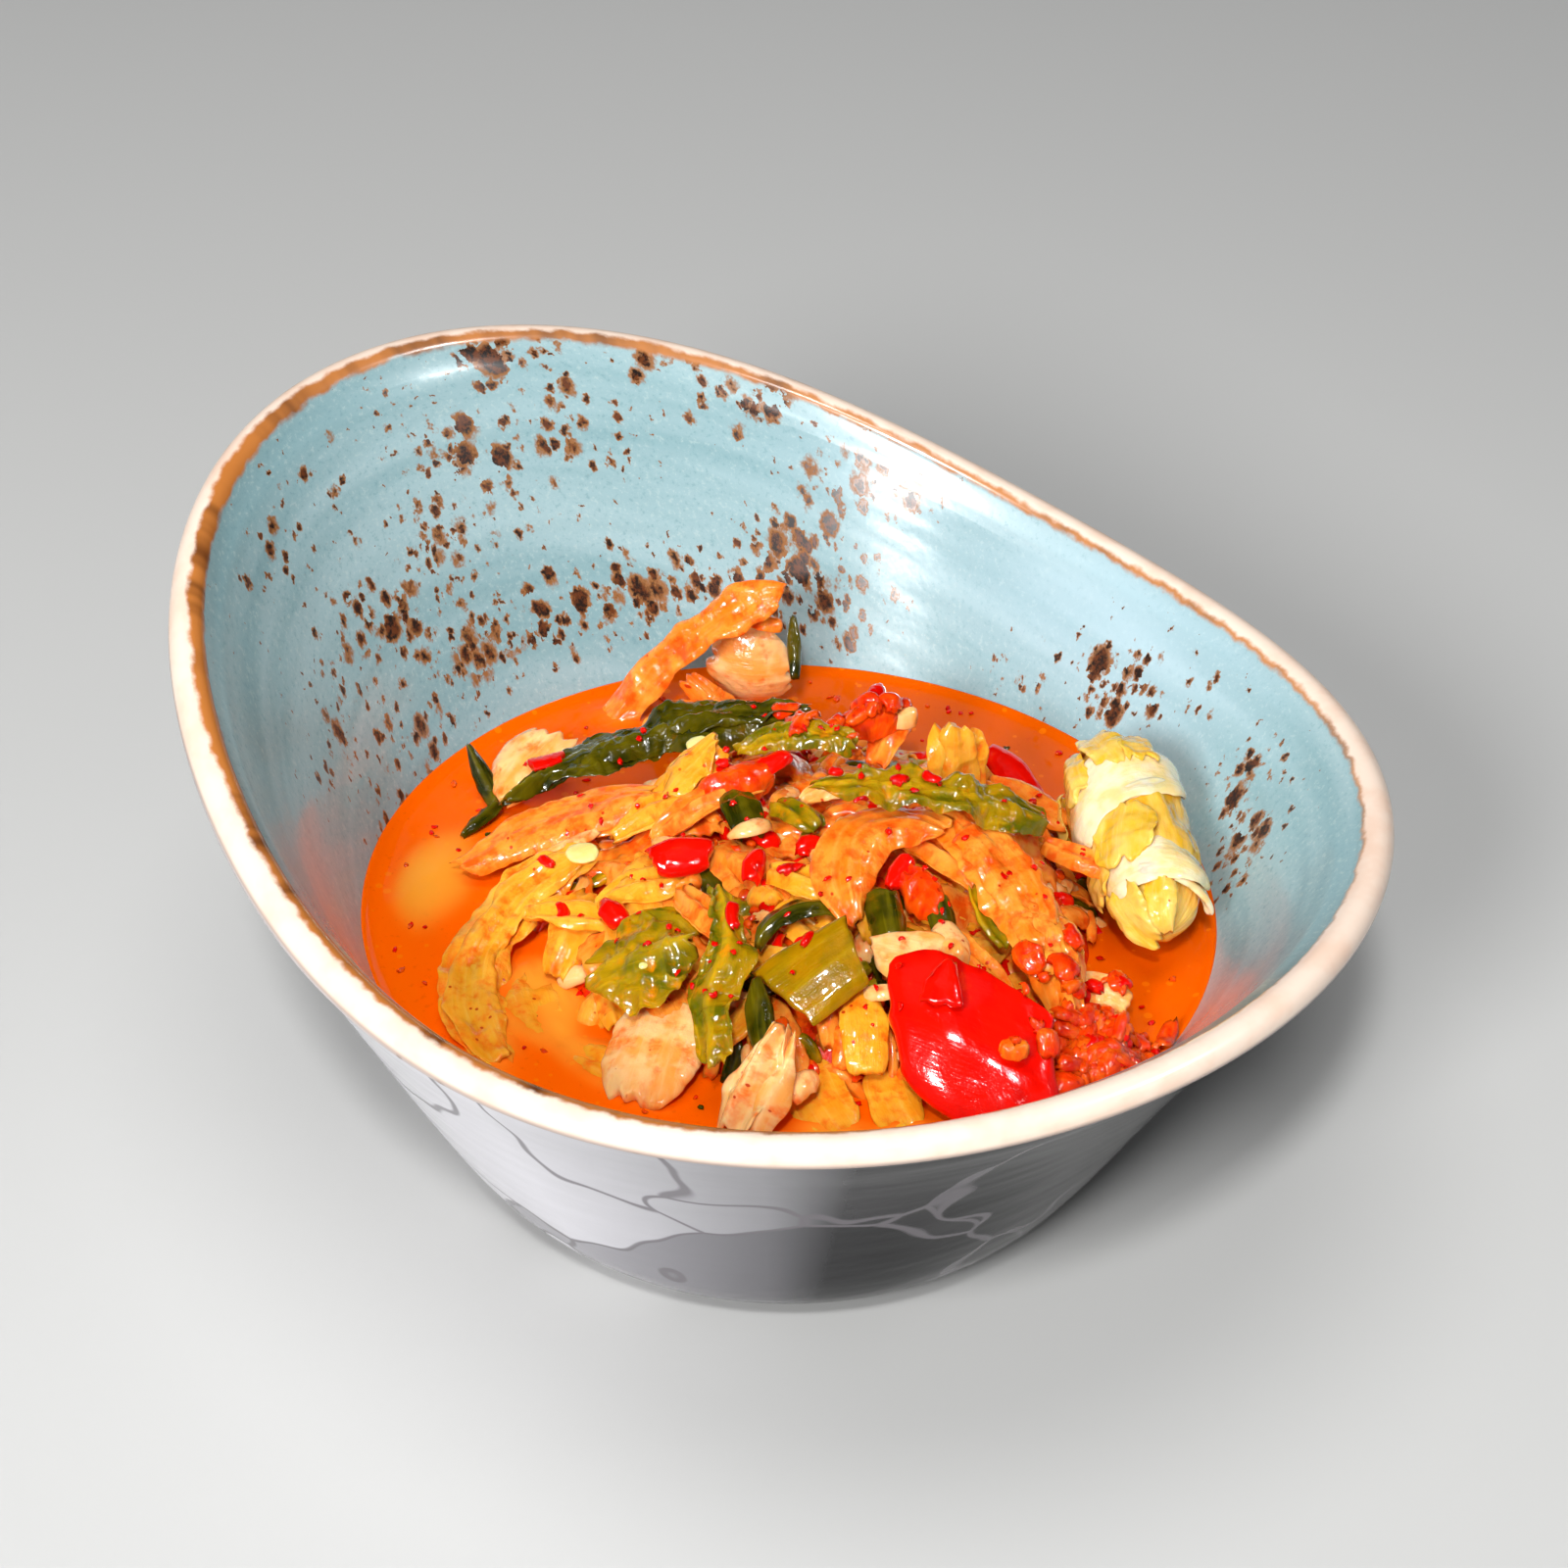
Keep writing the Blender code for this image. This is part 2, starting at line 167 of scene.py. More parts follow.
def noise(points, size, seed=0):
    """Smooth noise from -1 to 1 whose lumps are about size across."""
    scaled = np.asarray(points, dtype=float) / size
    cells = np.floor(scaled).astype(np.int64)
    part = scaled - cells
    part = part * part * (3 - 2 * part)
    total = np.zeros(scaled.shape[:-1])
    for corner in range(8):
        offset = np.array([corner & 1, corner >> 1 & 1, corner >> 2])
        weight = np.prod(np.where(offset == 1, part, 1 - part), axis=-1)
        total += weight * lattice(cells + offset, seed)
    return total


def rough_noise(points, size, seed=0, layers=3):
    return sum(noise(points, size / 2 ** k, seed + 17 * k) / 1.8 ** k for k in range(layers)) / 1.6


print("noise at the origin:", round(float(noise([0.3, 0.2, 0.1], 1.0)), 3))

# %% [markdown]
# Meshes are made from grids of points. A grid that closes on itself, front and back, is a solid sheet. What a
# material has to know about a point, such as how near a rib it is, is kept on the mesh as a named value.

# %% Mesh makers
def grid_faces(rows, columns, first=0, close=False, flip=False):
    r, c = np.meshgrid(np.arange(rows - 1), np.arange(columns if close else columns - 1), indexing="ij")
    right = (c + 1) % columns
    here, beyond = r * columns, (r + 1) * columns
    quads = np.stack([here + c, here + right, beyond + right, beyond + c], -1)
    quads = quads.reshape(-1, 4) + first
    return quads[:, ::-1] if flip else quads


def make_mesh(name, points, faces, values=None):
    """points in mm; values maps a name to one number for each point."""
    data = bpy.data.meshes.new(name)
    flat = np.asarray(points, dtype=float).reshape(-1, 3) * MM
    data.from_pydata(flat.tolist(), [], [tuple(face) for face in faces])
    for key, numbers in (values or {}).items():
        numbers = np.asarray(numbers, dtype=float)
        kind = "FLOAT" if numbers.size == len(flat) else "FLOAT_VECTOR"
        slot = data.attributes.new(key, kind, "POINT")
        slot.data.foreach_set("value" if kind == "FLOAT" else "vector", numbers.ravel())
    edit = bmesh.new()
    edit.from_mesh(data)
    bmesh.ops.remove_doubles(edit, verts=edit.verts, dist=1e-7)
    if edit.calc_volume(signed=True) < 0:
        bmesh.ops.reverse_faces(edit, faces=edit.faces)
    edit.to_mesh(data)
    edit.free()
    data.shade_smooth()
    made = bpy.data.objects.new(name, data)
    bpy.context.scene.collection.objects.link(made)
    return made


def settle(piece, finish, slot, *nodes):
    """Gives a piece its finish, lets it ride on the one body and stand for its solids."""
    piece.data.materials.append(finish)
    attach(piece, "root")
    if nodes:
        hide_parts(*nodes)
    print(piece.name, "faces:", len(piece.data.polygons))
    return piece


# %% [markdown]
# ## The bowl
# A potter turns a bowl and then pulls its rim up at the back. The script does the same: a profile is turned
# about the pot's axis, and each point is then raised and spread by how near the rim it is. The sizes are the
# solid's own; here the lip is rounder, and a shallow groove runs under it, with a thin darker brown band over
# it.

# %% The bowl's form
AXIS_Y = -4.9
FOOT_HEIGHT = 2.0
WALL = 4.4
RIM_MEAN = 55.0
ROUND_PART = 0.2
LIP_RADIUS = WALL / 2
BASE_RADIUS = 36.0
FLARE = 21.0              # how far the side leans out by FLARE_HEIGHT
FLARE_HEIGHT = 49.0
OPENING = 0.0037          # what it opens further, for each mm of height squared


def rim_height(a):
    return RIM_MEAN + 8.5 * np.cos(a) + 5.7 * np.cos(2 * a) + 0.8 * np.cos(3 * a)


def rim_spread(a):
    return -0.037 * np.cos(a) + 0.017 * np.cos(2 * a) + 0.016 * np.cos(3 * a)


def turned_radius(z):
    return BASE_RADIUS + FLARE * (np.maximum(z, 0.0) / FLARE_HEIGHT) ** 0.6 + OPENING * z * z


def pulled(radius, z, a):
    """A turned point's place, in mm on the table, once the rim is pulled."""
    share = np.clip((z / RIM_MEAN - ROUND_PART) / (1 - ROUND_PART), 0, 1) ** 1.5
    raised = z + (rim_height(a) - RIM_MEAN) * share
    spread = 1 + rim_spread(a) * np.clip(raised / rim_height(a), 0, 1.1) ** 3
    reach = np.where(z < 0, radius, radius + turned_radius(raised) * spread - turned_radius(z))
    return np.stack([-reach * np.sin(a), AXIS_Y + reach * np.cos(a), raised + FOOT_HEIGHT], axis=-1)


def inner_wall(z):
    """A point one wall thickness in from the outer side at height z."""
    slope = (turned_radius(z + 0.1) - turned_radius(z - 0.1)) / 0.2
    length = np.hypot(1.0, slope)
    return turned_radius(z) - WALL / length, z + WALL * slope / length


rim_back, rim_front = (rim_height(a) + FOOT_HEIGHT for a in (0.0, math.pi))
print("rim height at the back and front, mm:", rim_back, rim_front)

# %% Turn the bowl and pull its rim
TURNS = 256
GLAZE_ROUND = 60.0        # the glaze is painted as if the wall were a straight tube of this radius
GROOVE_DEPTH = 0.25
GROOVE_WIDTH = 1.2


def bowl_profile():
    """Turned points from the middle of the floor up the inside, over the lip, down, and under the foot."""
    radii, heights = [0.0, 8.0, 16.0, 24.0, 29.0, 32.0, 34.0], [WALL, WALL, WALL, WALL, 4.42, 4.6, 5.1]
    for z in 1.2 + (RIM_MEAN - 3.2 - 1.2) * np.linspace(0, 1, 58) ** 1.25:
        r, h = inner_wall(z)
        radii.append(r)
        heights.append(h)
    lip_middle = turned_radius(RIM_MEAN) - LIP_RADIUS
    for angle in np.radians(np.linspace(165, -12, 16)):
        radii.append(lip_middle + LIP_RADIUS * math.cos(angle))
        heights.append(RIM_MEAN + LIP_RADIUS * math.sin(angle))
    for z in np.linspace(RIM_MEAN * 0.965, 0.4, 44):
        groove = 0.35 + GROOVE_DEPTH * math.exp(-((z - RIM_MEAN * 0.94) / GROOVE_WIDTH) ** 2)
        radii.append(turned_radius(z) - groove)
        heights.append(z)
    foot = [(34.6, 0.0), (32.0, -0.1), (31.5, -0.5), (31.4, -1.5), (31.0, -2.0), (28.5, -2.0), (28.1, -1.5),
            (27.8, -0.4), (27.2, 0.0), (14.0, 0.0), (0.0, 0.0)]
    radii += [r for r, h in foot]
    heights += [h for r, h in foot]
    return np.array(radii), np.array(heights)


radii, heights = bowl_profile()
around = np.linspace(0, 2 * np.pi, TURNS, endpoint=False)
bowl_points = pulled(radii[:, None], heights[:, None], around[None, :])
steps = np.linalg.norm(np.diff(bowl_points, axis=0), axis=-1)
travelled = np.vstack([np.zeros((1, TURNS)), np.cumsum(steps, axis=0)])
crest = np.argmax(bowl_points[:, :, 2], axis=0)
from_lip = travelled[crest, np.arange(TURNS)] - travelled
tube_x = GLAZE_ROUND * np.cos(around) + 0 * from_lip
tube_y = GLAZE_ROUND * np.sin(around) + 0 * from_lip
wall_place = np.stack([tube_x, tube_y, from_lip], -1)
print("profile points:", len(radii), "inside depth, mm:", round(float(from_lip.max()), 1))

# %% [markdown]
# ## Shader helpers
# A material is a small chain of nodes. These helpers keep each link of the chain on one line: one adds a node
# and joins its inputs, the others are the steps that come back in nearly every finish.

# %% Node helpers
def node(tree, kind, inputs=None, **settings):
    made = tree.nodes.new("ShaderNode" + kind)
    for key, value in settings.items():
        setattr(made, key, value)
    for key, value in (inputs or {}).items():
        if isinstance(value, bpy.types.NodeSocket):
            tree.links.new(value, made.inputs[key])
        else:
            made.inputs[key].default_value = value
    return made


def value_of(tree, name):
    return node(tree, "Attribute", attribute_name=name).outputs["Fac"]


def vector_of(tree, name):
    return node(tree, "Attribute", attribute_name=name).outputs["Vector"]


def calc(tree, operation, a, b):
    return node(tree, "Math", {0: a, 1: b}, operation=operation).outputs[0]


def step(tree, value, low, high):
    """0 below low, 1 above high, smooth between. Low may be above high."""
    inputs = {"Value": value, "From Min": low, "From Max": high}
    return node(tree, "MapRange", inputs, interpolation_type="SMOOTHSTEP").outputs["Result"]


def mix(tree, share, a, b):
    a = (*a, 1.0) if isinstance(a, tuple) and len(a) == 3 else a
    b = (*b, 1.0) if isinstance(b, tuple) and len(b) == 3 else b
    return node(tree, "Mix", {0: share, 6: a, 7: b}, data_type="RGBA").outputs[2]


def stretch(tree, vector, scale):
    return node(tree, "VectorMath", {0: vector, 1: scale}, operation="MULTIPLY").outputs[0]


def cloud(tree, vector, size, detail=3.0, roughness=0.55):
    """Noise from 0 to 1 with lumps of about size, in the vector's own unit."""
    inputs = {"Vector": vector, "Scale": 1.0 / size, "Detail": detail, "Roughness": roughness}
    return node(tree, "TexNoise", inputs).outputs["Fac"]


def bump(tree, height, distance, strength=1.0):
    inputs = {"Height": height, "Distance": distance, "Strength": strength}
    return node(tree, "Bump", inputs).outputs["Normal"]


def new_group(name, inputs, outputs):
    """A node group; inputs and outputs are lists of (name, kind, default)."""
    group = bpy.data.node_groups.new(name, "ShaderNodeTree")
    for side, sockets in (("INPUT", inputs), ("OUTPUT", outputs)):
        for label, kind, default in sockets:
            socket = group.interface.new_socket(name=label, in_out=side, socket_type="NodeSocket" + kind)
            if default is not None:
                socket.default_value = default
    return group, group.nodes.new("NodeGroupInput").outputs, group.nodes.new("NodeGroupOutput").inputs


def use(tree, group, inputs):
    return node(tree, "Group", inputs, node_tree=group).outputs


def new_finish(name):
    finish = bpy.data.materials.new(name)
    finish.use_nodes = True
    return finish, finish.node_tree, finish.node_tree.nodes["Principled BSDF"]


def plug(tree, shader, **inputs):
    """Sets or joins the shader's inputs; a name's underscores stand for spaces."""
    for key, value in inputs.items():
        socket = shader.inputs[key.replace("_", " ")]
        if isinstance(value, bpy.types.NodeSocket):
            tree.links.new(value, socket)
        else:
            socket.default_value = (*value, 1.0) if key == "Base_Color" else value


print("node helpers ready")

# %% [markdown]
# ## The glaze
# Iron in the clay burns through the blue glaze as rust-brown specks with soft orange edges, which run a
# little way down the wall. Each cell of a Voronoi pattern holds one speck; the cell's own random number
# sets its size, and noise frays its edge. The same group makes the coarse and the fine specks.

# %% Specks group
FRAYING = 1.5             # how far noise pushes a speck's edge
MOSTLY_SMALL = 1.25       # above 1, small specks outnumber large ones
CORE_SOLID, CORE_GONE = 0.46, 0.66      # shares of a speck's reach; its orange rim goes on to the full reach
specks, given, gives = new_group(
    "iron specks",
    [("Place", "Vector", None), ("Size", "Float", 5.0), ("Amount", "Float", 0.5)],
    [("Core", "Float", None), ("Halo", "Float", None)],
)
frayed = node(specks, "TexNoise", {"Vector": given["Place"], "Scale": 1.1, "Detail": 2.0, "Roughness": 0.7})
middle_grey = {0: frayed.outputs["Color"], 1: (0.5, 0.5, 0.5)}
centred = node(specks, "VectorMath", middle_grey, operation="SUBTRACT").outputs[0]
push = node(specks, "VectorMath", {0: centred, "Scale": FRAYING}, operation="SCALE").outputs[0]
frayed_place = node(specks, "VectorMath", {0: given["Place"], 1: push}, operation="ADD").outputs[0]
cell_scale = calc(specks, "DIVIDE", 1.0, given["Size"])
cells = node(specks, "TexVoronoi", {"Vector": frayed_place, "Scale": cell_scale})
lot = node(specks, "SeparateColor", {"Color": cells.outputs["Color"]}).outputs["Red"]
reach = calc(specks, "MULTIPLY", calc(specks, "POWER", lot, MOSTLY_SMALL), given["Amount"])
inner = calc(specks, "MULTIPLY", reach, CORE_SOLID)
outer = calc(specks, "MULTIPLY", reach, CORE_GONE)
specks.links.new(step(specks, cells.outputs["Distance"], outer, inner), gives["Core"])
specks.links.new(step(specks, cells.outputs["Distance"], reach, outer), gives["Halo"])
print("group:", specks.name)

# %% [markdown]
# The specks keep to a few places: a ring just above the broth, a scatter up the left of the high wall, and
# small runs at the right. Each place is a soft patch, given by its angle round the bowl from the high back,
# its height on the table and its spread. The painted sheen, where the blue is painted pale and milky to stand
# for light on the glossy wall round the glint, is given in the same way.

# %% Where the specks lie
PATCHES = [  # angle in degrees, height, spread along the wall, spread up it, strength
    (-20, 42, 26, 5, 1.15), (-42, 43, 12, 6, 1.15), (0, 42, 14, 7, 1.05), (-52, 40, 8, 7, 1.0),
    (12, 36, 12, 5, 0.9), (-6, 62, 8, 6, 1.05), (-13, 71, 6, 4, 1.2), (0, 54, 14, 8, 0.85),
    (14, 50, 12, 8, 0.9), (-18, 62, 10, 8, 0.75), (-42, 63, 9, 4, 1.1), (-32, 67, 8, 4, 0.75),
    (-50, 56, 7, 8, 0.8), (-46, 48, 8, 5, 0.95), (-60, 54, 4, 3, 1.0), (-94, 41, 8, 6, 1.2),
    (-82, 38, 8, 5, 0.75), (-122, 42, 6, 5, 1.15), (-130, 38, 8, 8, 0.9), (30, 43, 10, 8, 0.65),
    (20, 62, 16, 10, 0.5), (-105, 46, 8, 5, 0.6), (8, 50, 22, 13, 0.66), (26, 44, 14, 9, 0.66),
    (-8, 58, 16, 12, 0.64), (22, 34, 16, 5, 0.75), (2, 68, 16, 5, 0.55),
]
# Painted sheen: pale milky patches that stand for light on the glossy wall, one round the glint.
PAINTED_SHEEN = [(-92, 46, 26, 9, 1.0), (-60, 56, 16, 7, 0.5), (60, 46, 14, 8, 0.5)]
WALL_REACH = 56.0         # turns an angle round the wall into mm
heights_now = bowl_points[:, :, 2]


def patch_field(patches):
    """For each point of the bowl, how far it lies inside the nearest soft patch."""
    field = np.zeros_like(from_lip)
    for angle, height, wide, tall, strength in patches:
        turned_by = (np.degrees(around)[None, :] - angle + 180) % 360 - 180
        aside = np.radians(turned_by) * WALL_REACH
        patch = strength * np.exp(-(aside / wide) ** 2 - ((heights_now - height) / tall) ** 2)
        field = np.maximum(field, patch)
    return field


def round_the_pot(turns):
    """A value for each point that changes only round the pot; turns maps an angle in degrees to it."""
    angles = sorted(turns)
    found = np.interp(np.degrees(around), angles, [turns[a] for a in angles], period=360)
    return found[None, :] + np.zeros_like(from_lip)


rust = patch_field(PATCHES)
painted_sheen = patch_field(PAINTED_SHEEN)
toasted = round_the_pot({0: 0.8, 20: 1.0, 125: 1.0, 150: 0.5, 190: 0.35, 250: 0.5, 300: 0.6})
# Painted shade: how far the outside is painted near black, by its angle round the pot, to stand for the shade
# on its far side.
painted_far_shade = round_the_pot({45: 0.0, 104: 0.0, 120: 0.3, 134: 0.6, 142: 0.97, 150: 1.0, 300: 0.9, 360: 0.3})
print("share of the wall with specks:", round(float((rust > 0.4).mean()), 2))

# %% [markdown]
# The pot has three zones that run into each other: the blue inside, brushed on in rings, with patches of
# painted sheen; the bare cream lip, toasted where the blue begins; and the pale grey outside, with marbled
# grey fields and veins that are painted reflections, painted near black at one side as shade. The blue and
# the grey are groups, because the lip needs them too where it meets them. The zones' own finishes then stay
# short and render faster.

# %% Blue glaze group
COARSE_SPECKS, FINE_SPECKS = 2.8, 1.6      # cell sizes, mm
blue_glaze, given, gives = new_group(
    "blue glaze", [("Place", "Vector", None), ("Rust", "Float", 0.0), ("Painted_Sheen", "Float", 0.0)],
    [("Color", "Color", None), ("Core", "Float", None)])
place = given["Place"]
rings = cloud(blue_glaze, stretch(blue_glaze, place, (0.012, 0.012, 0.11)), 1.0, 3.0, 0.6)
strokes = cloud(blue_glaze, stretch(blue_glaze, place, (0.02, 0.02, 0.20)), 1.0, 2.0, 0.5)
grain = cloud(blue_glaze, place, 0.8, 3.0, 0.75)
blue = mix(blue_glaze, step(blue_glaze, rings, 0.36, 0.64), (0.23, 0.38, 0.41), (0.33, 0.48, 0.51))
pale_strokes = calc(blue_glaze, "MULTIPLY", step(blue_glaze, strokes, 0.42, 0.80), 0.30)
blue = mix(blue_glaze, pale_strokes, blue, (0.48, 0.63, 0.66))
crystals = calc(blue_glaze, "MULTIPLY", step(blue_glaze, grain, 0.54, 0.68), 0.35)
blue = mix(blue_glaze, crystals, blue, (0.50, 0.62, 0.60))
pits = calc(blue_glaze, "MULTIPLY", step(blue_glaze, grain, 0.46, 0.30), 0.45)
blue = mix(blue_glaze, pits, blue, (0.14, 0.29, 0.32))
# Painted sheen: the blue is painted paler and milkier in the sheen patches.
ring_sheen = calc(blue_glaze, "ADD", 0.35, calc(blue_glaze, "MULTIPLY", rings, 0.6))
sheen_share = calc(blue_glaze, "MULTIPLY", given["Painted_Sheen"], ring_sheen)
blue = mix(blue_glaze, sheen_share, blue, (0.50, 0.68, 0.76))
run_down = stretch(blue_glaze, place, (1.0, 1.0, 0.78))
big = use(blue_glaze, specks, {"Place": run_down, "Size": COARSE_SPECKS, "Amount": given["Rust"]})
small = use(blue_glaze, specks, {"Place": run_down, "Size": FINE_SPECKS, "Amount": given["Rust"]})
halo = calc(blue_glaze, "MAXIMUM", big["Halo"], small["Halo"])
core = calc(blue_glaze, "MAXIMUM", big["Core"], small["Core"])
burnt = mix(blue_glaze, step(blue_glaze, grain, 0.42, 0.60), (0.010, 0.004, 0.002), (0.12, 0.030, 0.005))
blue = mix(blue_glaze, calc(blue_glaze, "MULTIPLY", halo, 0.9), blue, (0.30, 0.10, 0.008))
blue_glaze.links.new(mix(blue_glaze, core, blue, burnt), gives["Color"])
blue_glaze.links.new(core, gives["Core"])
print("group:", blue_glaze.name)

# %% Grey glaze group: marbled fields and veins as painted reflections, one side as painted shade
FIELD_SCALE = 0.024       # one over a field's width in mm
WARP = (60, 60, 60)
grey_glaze, given, gives = new_group(
    "grey glaze with painted reflections and shade", [("Place", "Vector", None), ("Painted_Far_Shade", "Float", 0.0)], [("Color", "Color", None)])
place = given["Place"]
warp = node(grey_glaze, "TexNoise", {"Vector": place, "Scale": 0.03, "Detail": 2.0}).outputs["Color"]
warped = node(grey_glaze, "VectorMath", {0: warp, 1: WARP, 2: place}, operation="MULTIPLY_ADD").outputs[0]
edges = node(grey_glaze, "TexVoronoi", {"Vector": warped, "Scale": FIELD_SCALE}, feature="DISTANCE_TO_EDGE")
# The marbled grey fields and the veins between them are painted reflections on the glossy glaze.
painted_reflection_fields = node(grey_glaze, "TexVoronoi", {"Vector": warped, "Scale": FIELD_SCALE}).outputs["Color"]
lot = step(grey_glaze, node(grey_glaze, "SeparateColor", {"Color": painted_reflection_fields}).outputs["Green"], 0.52, 0.64)
pale = mix(grey_glaze, calc(grey_glaze, "MULTIPLY", lot, 0.6), (0.70, 0.69, 0.73), (0.15, 0.14, 0.16))
# The near-black colours are painted shade for the outside's far side.
dark = mix(grey_glaze, lot, (0.020, 0.019, 0.021), (0.008, 0.008, 0.009))
grey = mix(grey_glaze, given["Painted_Far_Shade"], pale, dark)
painted_reflection_vein = calc(grey_glaze, "MULTIPLY", step(grey_glaze, edges.outputs["Distance"], 0.022, 0.006), 0.85)
grey = mix(grey_glaze, painted_reflection_vein, grey, (0.17, 0.155, 0.17))
grey_glaze.links.new(grey, gives["Color"])
print("group:", grey_glaze.name)

# %% The pot's three finishes
def glaze_relief(tree):
    """Throwing rings and the glaze's fine orange peel, as a normal."""
    place = vector_of(tree, "wall_place")
    height = cloud(tree, stretch(tree, place, (0.05, 0.05, 0.22)), 1.0, 1.0)
    fine = calc(tree, "MULTIPLY", cloud(tree, place, 1.3, 1.0), 0.10)
    return bump(tree, calc(tree, "ADD", height, fine), 0.0005, 0.22)


def blue_here(tree):
    inputs = {"Place": vector_of(tree, "wall_place"), "Rust": value_of(tree, "rust")}
    inputs["Painted_Sheen"] = value_of(tree, "painted_sheen")
    return use(tree, blue_glaze, inputs)


def grey_here(tree):
    inputs = {"Place": vector_of(tree, "wall_place"), "Painted_Far_Shade": value_of(tree, "painted_far_shade")}
    return use(tree, grey_glaze, inputs)["Color"]


inner_finish, tree, shader = new_finish("blue_inside")
blue = blue_here(tree)
gloss = calc(tree, "ADD", 0.15, calc(tree, "MULTIPLY", blue["Core"], 0.2))
plug(tree, shader, Base_Color=blue["Color"], Roughness=gloss, Normal=glaze_relief(tree))

outer_finish, tree, shader = new_finish("grey_outside")
plug(tree, shader, Base_Color=grey_here(tree), Roughness=0.10, Specular_IOR_Level=0.05,
     Normal=glaze_relief(tree))

# %% The lip's finish
lip_finish, tree, shader = new_finish("bare_lip")
place = vector_of(tree, "wall_place")
lip_way = value_of(tree, "from_lip")
toasted_here = value_of(tree, "toasted")
fray = calc(tree, "MULTIPLY", calc(tree, "SUBTRACT", cloud(tree, place, 2.2, 4.0), 0.5), 1.8)
spread_out = calc(tree, "MULTIPLY", calc(tree, "SUBTRACT", toasted_here, 0.5), 2.8)
frayed = calc(tree, "ADD", lip_way, fray)
browned = calc(tree, "ADD", frayed, spread_out)
cream = mix(tree, step(tree, cloud(tree, place, 5.0, 3.0), 0.4, 0.7), (0.86, 0.69, 0.57), (0.82, 0.60, 0.47))
toast_lot = cloud(tree, stretch(tree, place, (0.07, 0.07, 0.0)), 1.0, 4.0, 0.65)
toast = mix(tree, step(tree, toast_lot, 0.46, 0.66), (0.50, 0.17, 0.035), (0.09, 0.022, 0.005))
toast = mix(tree, toasted_here, (0.56, 0.28, 0.13), toast)
inside = blue_here(tree)["Color"]
outside = grey_here(tree)
skin = mix(tree, step(tree, browned, 0.9, 1.7), cream, toast)
wider = calc(tree, "SUBTRACT", frayed, calc(tree, "MULTIPLY", toasted_here, 0.6))
skin = mix(tree, step(tree, wider, 1.3, 2.1), skin, inside)
# A thin darker brown band just under the lip, over the groove.
skin = mix(tree, step(tree, lip_way, -3.0, -3.8), skin, (0.42, 0.32, 0.27))
skin = mix(tree, step(tree, lip_way, -3.5, -4.6), skin, outside)
plug(tree, shader, Base_Color=skin, Roughness=0.24, Normal=glaze_relief(tree))

# %% The bowl's mesh
LIP_IN, LIP_OUT = 7.0, -6.0      # how far down each side the lip's finish reaches, mm
bowl_values = {"from_lip": from_lip, "wall_place": wall_place, "rust": rust, "painted_sheen": painted_sheen,
               "toasted": toasted, "painted_far_shade": painted_far_shade}
bowl = make_mesh("stoneware_bowl", bowl_points, grid_faces(len(radii), TURNS, close=True), bowl_values)
settle(bowl, inner_finish, "glaze", "bowl")
bowl.data.materials.append(lip_finish)
bowl.data.materials.append(outer_finish)
ways = np.zeros(len(bowl.data.vertices))
bowl.data.attributes["from_lip"].data.foreach_get("value", ways)
for face in bowl.data.polygons:
    way = ways[face.vertices[0]]
    face.material_index = 0 if way > LIP_IN else 2 if way < LIP_OUT else 1

# %% [markdown]
# ## Lines to build a leaf on
# Every cut leaf, stem and skin was built as a plain solid: rings of points, one behind the other, along an
# arc. The leaf's own line is read back from those rings, so the fine leaf lies exactly where its solid
# does. Starting at the cap that faces the root, each next ring is all the points one edge further on.

# %% Read a sheet from its solid
SAME_CAP = 0.85           # faces that look this much the same way are one cap
CLEARLY_FLAT = 1.35       # a ring this much longer than thick shows its own side


def rings_of(solid, root):
    edit = bmesh.new()
    edit.from_mesh(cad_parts[solid].data)
    bmesh.ops.remove_doubles(edit, verts=edit.verts, dist=1e-6)
    edit.normal_update()
    edit.verts.index_update()
    facing = Vector(root).normalized()
    first = max(edit.faces, key=lambda face: face.normal.dot(facing))
    cap, waiting = {first}, [first]
    while waiting:
        face = waiting.pop()
        for other in [o for e in face.edges for o in e.link_faces]:
            if other not in cap and other.normal.dot(first.normal) > SAME_CAP:
                cap.add(other)
                waiting.append(other)
    ring = {v for face in cap for v in face.verts}
    seen, rings = set(ring), []
    while ring:
        rings.append(np.array([v.co / MM for v in sorted(ring, key=lambda v: v.index)]))
        ring = {e.other_vert(v) for v in ring for e in v.link_edges} - seen
        seen |= ring
    edit.free()
    return rings


def unit(vectors):
    return vectors / np.maximum(np.linalg.norm(vectors, axis=-1, keepdims=True), 1e-9)


